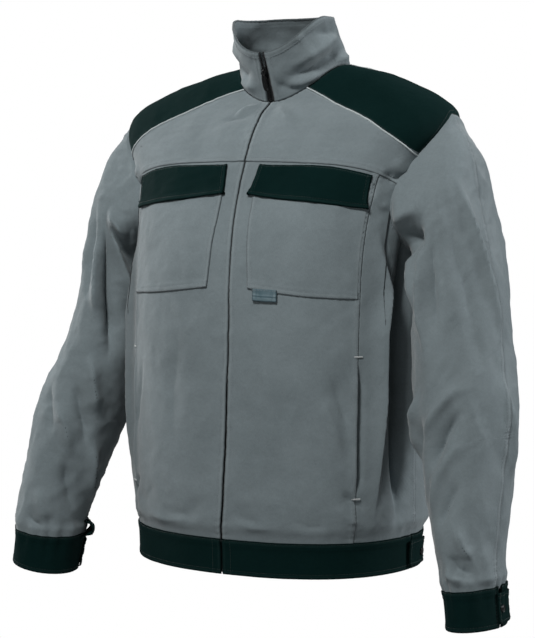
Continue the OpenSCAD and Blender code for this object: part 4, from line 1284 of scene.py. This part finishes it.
def snap(centre, outward, radius=5.0):
    """A snap cap: a stepped, domed profile turned round its own axis."""
    profile = np.array([[0.0, 0.0], [1.0, 0.0], [1.0, 0.25], [0.93, 0.32], [0.86, 0.3], [0.74, 0.2],
                        [0.62, 0.24], [0.5, 0.31], [0.25, 0.36], [0.02, 0.37]]) * radius
    turn = np.linspace(0, 2 * np.pi, 33)[:-1]
    out = unit(np.array(outward, float))
    a = unit(np.cross(out, [0, 0, 1.0]))
    b = np.cross(out, a)
    grid = (profile[:, None, :1] * (a * np.cos(turn)[:, None] + b * np.sin(turn)[:, None])
            + profile[:, None, 1:] * out) + centre
    i, j = np.meshgrid(np.arange(len(profile) - 1), np.arange(32), indexing="ij")
    quads = np.stack([i * 32 + j, (i + 1) * 32 + j, (i + 1) * 32 + (j + 1) % 32,
                      i * 32 + (j + 1) % 32], -1).reshape(-1, 4)
    p = grid.reshape(-1, 3)
    return [p, quads, p[:, :2] / 1000, np.zeros(len(p)), 3]


# Slit binding.  A folded strip that edges the slit above the right cuff
# stands away from the wrist in a loose loop.
form, draped = SLEEVES[-1]
strip = cloth("slit_binding_right", draped,
              (points([196, 212, 228], 5.36), points([194, 210, 226], 6.2),
               points([196, 195, 194], [5.36, 5.8, 6.2]), points([228, 227, 226], [5.36, 5.8, 6.2])),
              ("open", "open", "hem", "hem"), [("left", 3), ("right", 3)], DOUBLE, -1, lift=1.2,
              thick=1.4, step=2, fine=0.8,
              extra=lambda f, t, u, v: ((16 - 0.3 * (f - 194))
                                        * np.sin(np.pi * np.clip((t - 5.36) / 0.84, 0, 1))**1.4))
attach(strip, "forearm_right")

# Cuff tabs.  A short double strap sewn beside each slit folds across it
# and snaps down.
for side, hand in SIDES:
    form, draped = SLEEVES[side]
    v = VENT[side]
    f0, f1 = (v - 36, v + 8) if side == 1 else (v - 8, v + 36)
    lines = (points([f0, (f0 + f1) / 2, f1], 6.16), points([f0, (f0 + f1) / 2, f1], 6.86),
             points([f0, f0], [6.16, 6.86]), points([f1, f1], [6.16, 6.86]))
    tab = cloth("cuff_tab_" + hand, draped, lines, ("hem", "hem", "hem", "hem"),
                [("bottom", 4), ("top", 4), ("left", 4), ("right", 4)], DOUBLE, side, lift=4.6,
                thick=1.5, step=1.6, fine=0.8)
    fixed, free = ((f0, f0 + 14) if side == 1 else (f1, f1 - 14))
    start, end = draped(np.array([fixed, free], float), np.array([6.5, 6.5])) / 1000
    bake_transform(tab)
    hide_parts("cuff_tab_" + hand)
    spot = np.array([float(f1 - 9 if side == 1 else f0 + 9)]), np.array([6.5])
    out = facing(form, *spot, side)[0]
    button = piece("cuff_snap_" + hand + "_trim", [snap(draped(*spot)[0] + out * 4.6, out, 4.6)],
                   [enamel] * 4)
    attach(button, "cuff_tab_" + hand)

# Waist tabs.  Double straps on the hem band at both sides draw the waist
# in, each held by a snap.
for side, hand in SIDES:
    lines = [[(side * a, t) for a, t in line] for line in (
        ([(86, 0.16), (95, 0.15), (104, 0.16)], [(86, 0.86), (95, 0.87), (104, 0.86)],
         [(86, 0.16), (86, 0.86)], [(104, 0.16), (104, 0.86)]))]
    tab = cloth("waist_tab_" + hand, body_cloth, lines, ("hem", "hem", "hem", "hem"),
                [("bottom", 4), ("top", 4), ("left", 4), ("right", 4)], DOUBLE, side, lift=5.4,
                thick=1.6, step=2, fine=0.8)
    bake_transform(tab)
    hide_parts("waist_tab_" + hand)
    a, t = np.array([side * 100.0]), np.array([0.5])
    out = facing(body_form, a, t)[0]
    button = piece("waist_snap_" + hand + "_trim", [snap(body_cloth(a, t)[0] + out * 5.6, out, 5.0)],
                   [enamel] * 4)
    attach(button, "waist_tab_" + hand)
    button = piece("waist_stud_" + hand + "_trim", [snap(body_cloth(a, t)[0] + out * 1.6, out, 4.4)],
                   [enamel] * 4)
    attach(button, "body")
    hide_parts("waist_stud_" + hand)

# Hanger loop and neck label.  A woven tape loop and a blank woven label are
# sewn inside the back of the neck.
low, high = (np.array(c) * 1000 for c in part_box("hanger_loop"))
x0, x1, y, z0, z1 = low[0] + 3, high[0] - 3, (low[1] + high[1]) / 2, low[2] + 3.2, high[2]
bend = np.linspace(0, 1, 90)
route = np.array([[x0, y, z1], [x0 + 0.5, y, z1 - 8], [x0 + 5, y - 0.2, z0 + 1], [x0 + 16, y - 0.3, z0],
                  [0, y - 0.3, z0 - 0.3], [x1 - 16, y - 0.3, z0], [x1 - 5, y - 0.2, z0 + 1],
                  [x1 - 0.5, y, z1 - 8], [x1, y, z1]])
line = rows_at(route, bend * (len(route) - 1))
forward = unit(np.gradient(line, axis=0))
inward = np.array([0, -1.0, 0])
across = np.cross(forward, inward)
section = np.array([[-3.0, -0.5], [3.0, -0.5], [3.0, 0.5], [-3.0, 0.5]])
grid = line[:, None] + across[:, None] * section[None, :, :1] + inward * section[None, :, 1:]
i, j = np.meshgrid(np.arange(len(line) - 1), np.arange(4), indexing="ij")
quads = np.stack([i * 4 + j, (i + 1) * 4 + j, (i + 1) * 4 + (j + 1) % 4,
                  i * 4 + (j + 1) % 4], -1).reshape(-1, 4)
quads = np.concatenate([quads, [[0, 1, 2, 3], [4 * 89 + 3, 4 * 89 + 2, 4 * 89 + 1, 4 * 89]]])
run = np.repeat(np.arange(90) * 0.001, 4)
loop = piece("hanger_loop_trim",
             [[grid.reshape(-1, 3), quads, np.stack([np.tile([0, 0.006, 0.006, 0], 90), run], -1),
               np.zeros(360), 0]], [zip_tape])
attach(loop, "hanger")
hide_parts("hanger_loop")
name_tab = cloth("neck_label", body_cloth,
                 ([(162, 8.15), (198, 8.15)], [(160, 8.75), (200, 8.75)],
                  [(162, 8.15), (160, 8.75)], [(198, 8.15), (200, 8.75)]),
                 ("hem", "hem", "hem", "hem"), [("bottom", 1.5), ("top", 1.5)],
                 [tab_cloth, tab_cloth, grey_thread], lift=-2.2, thick=0.6, step=2)
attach(name_tab, "body")
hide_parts("neck_label")
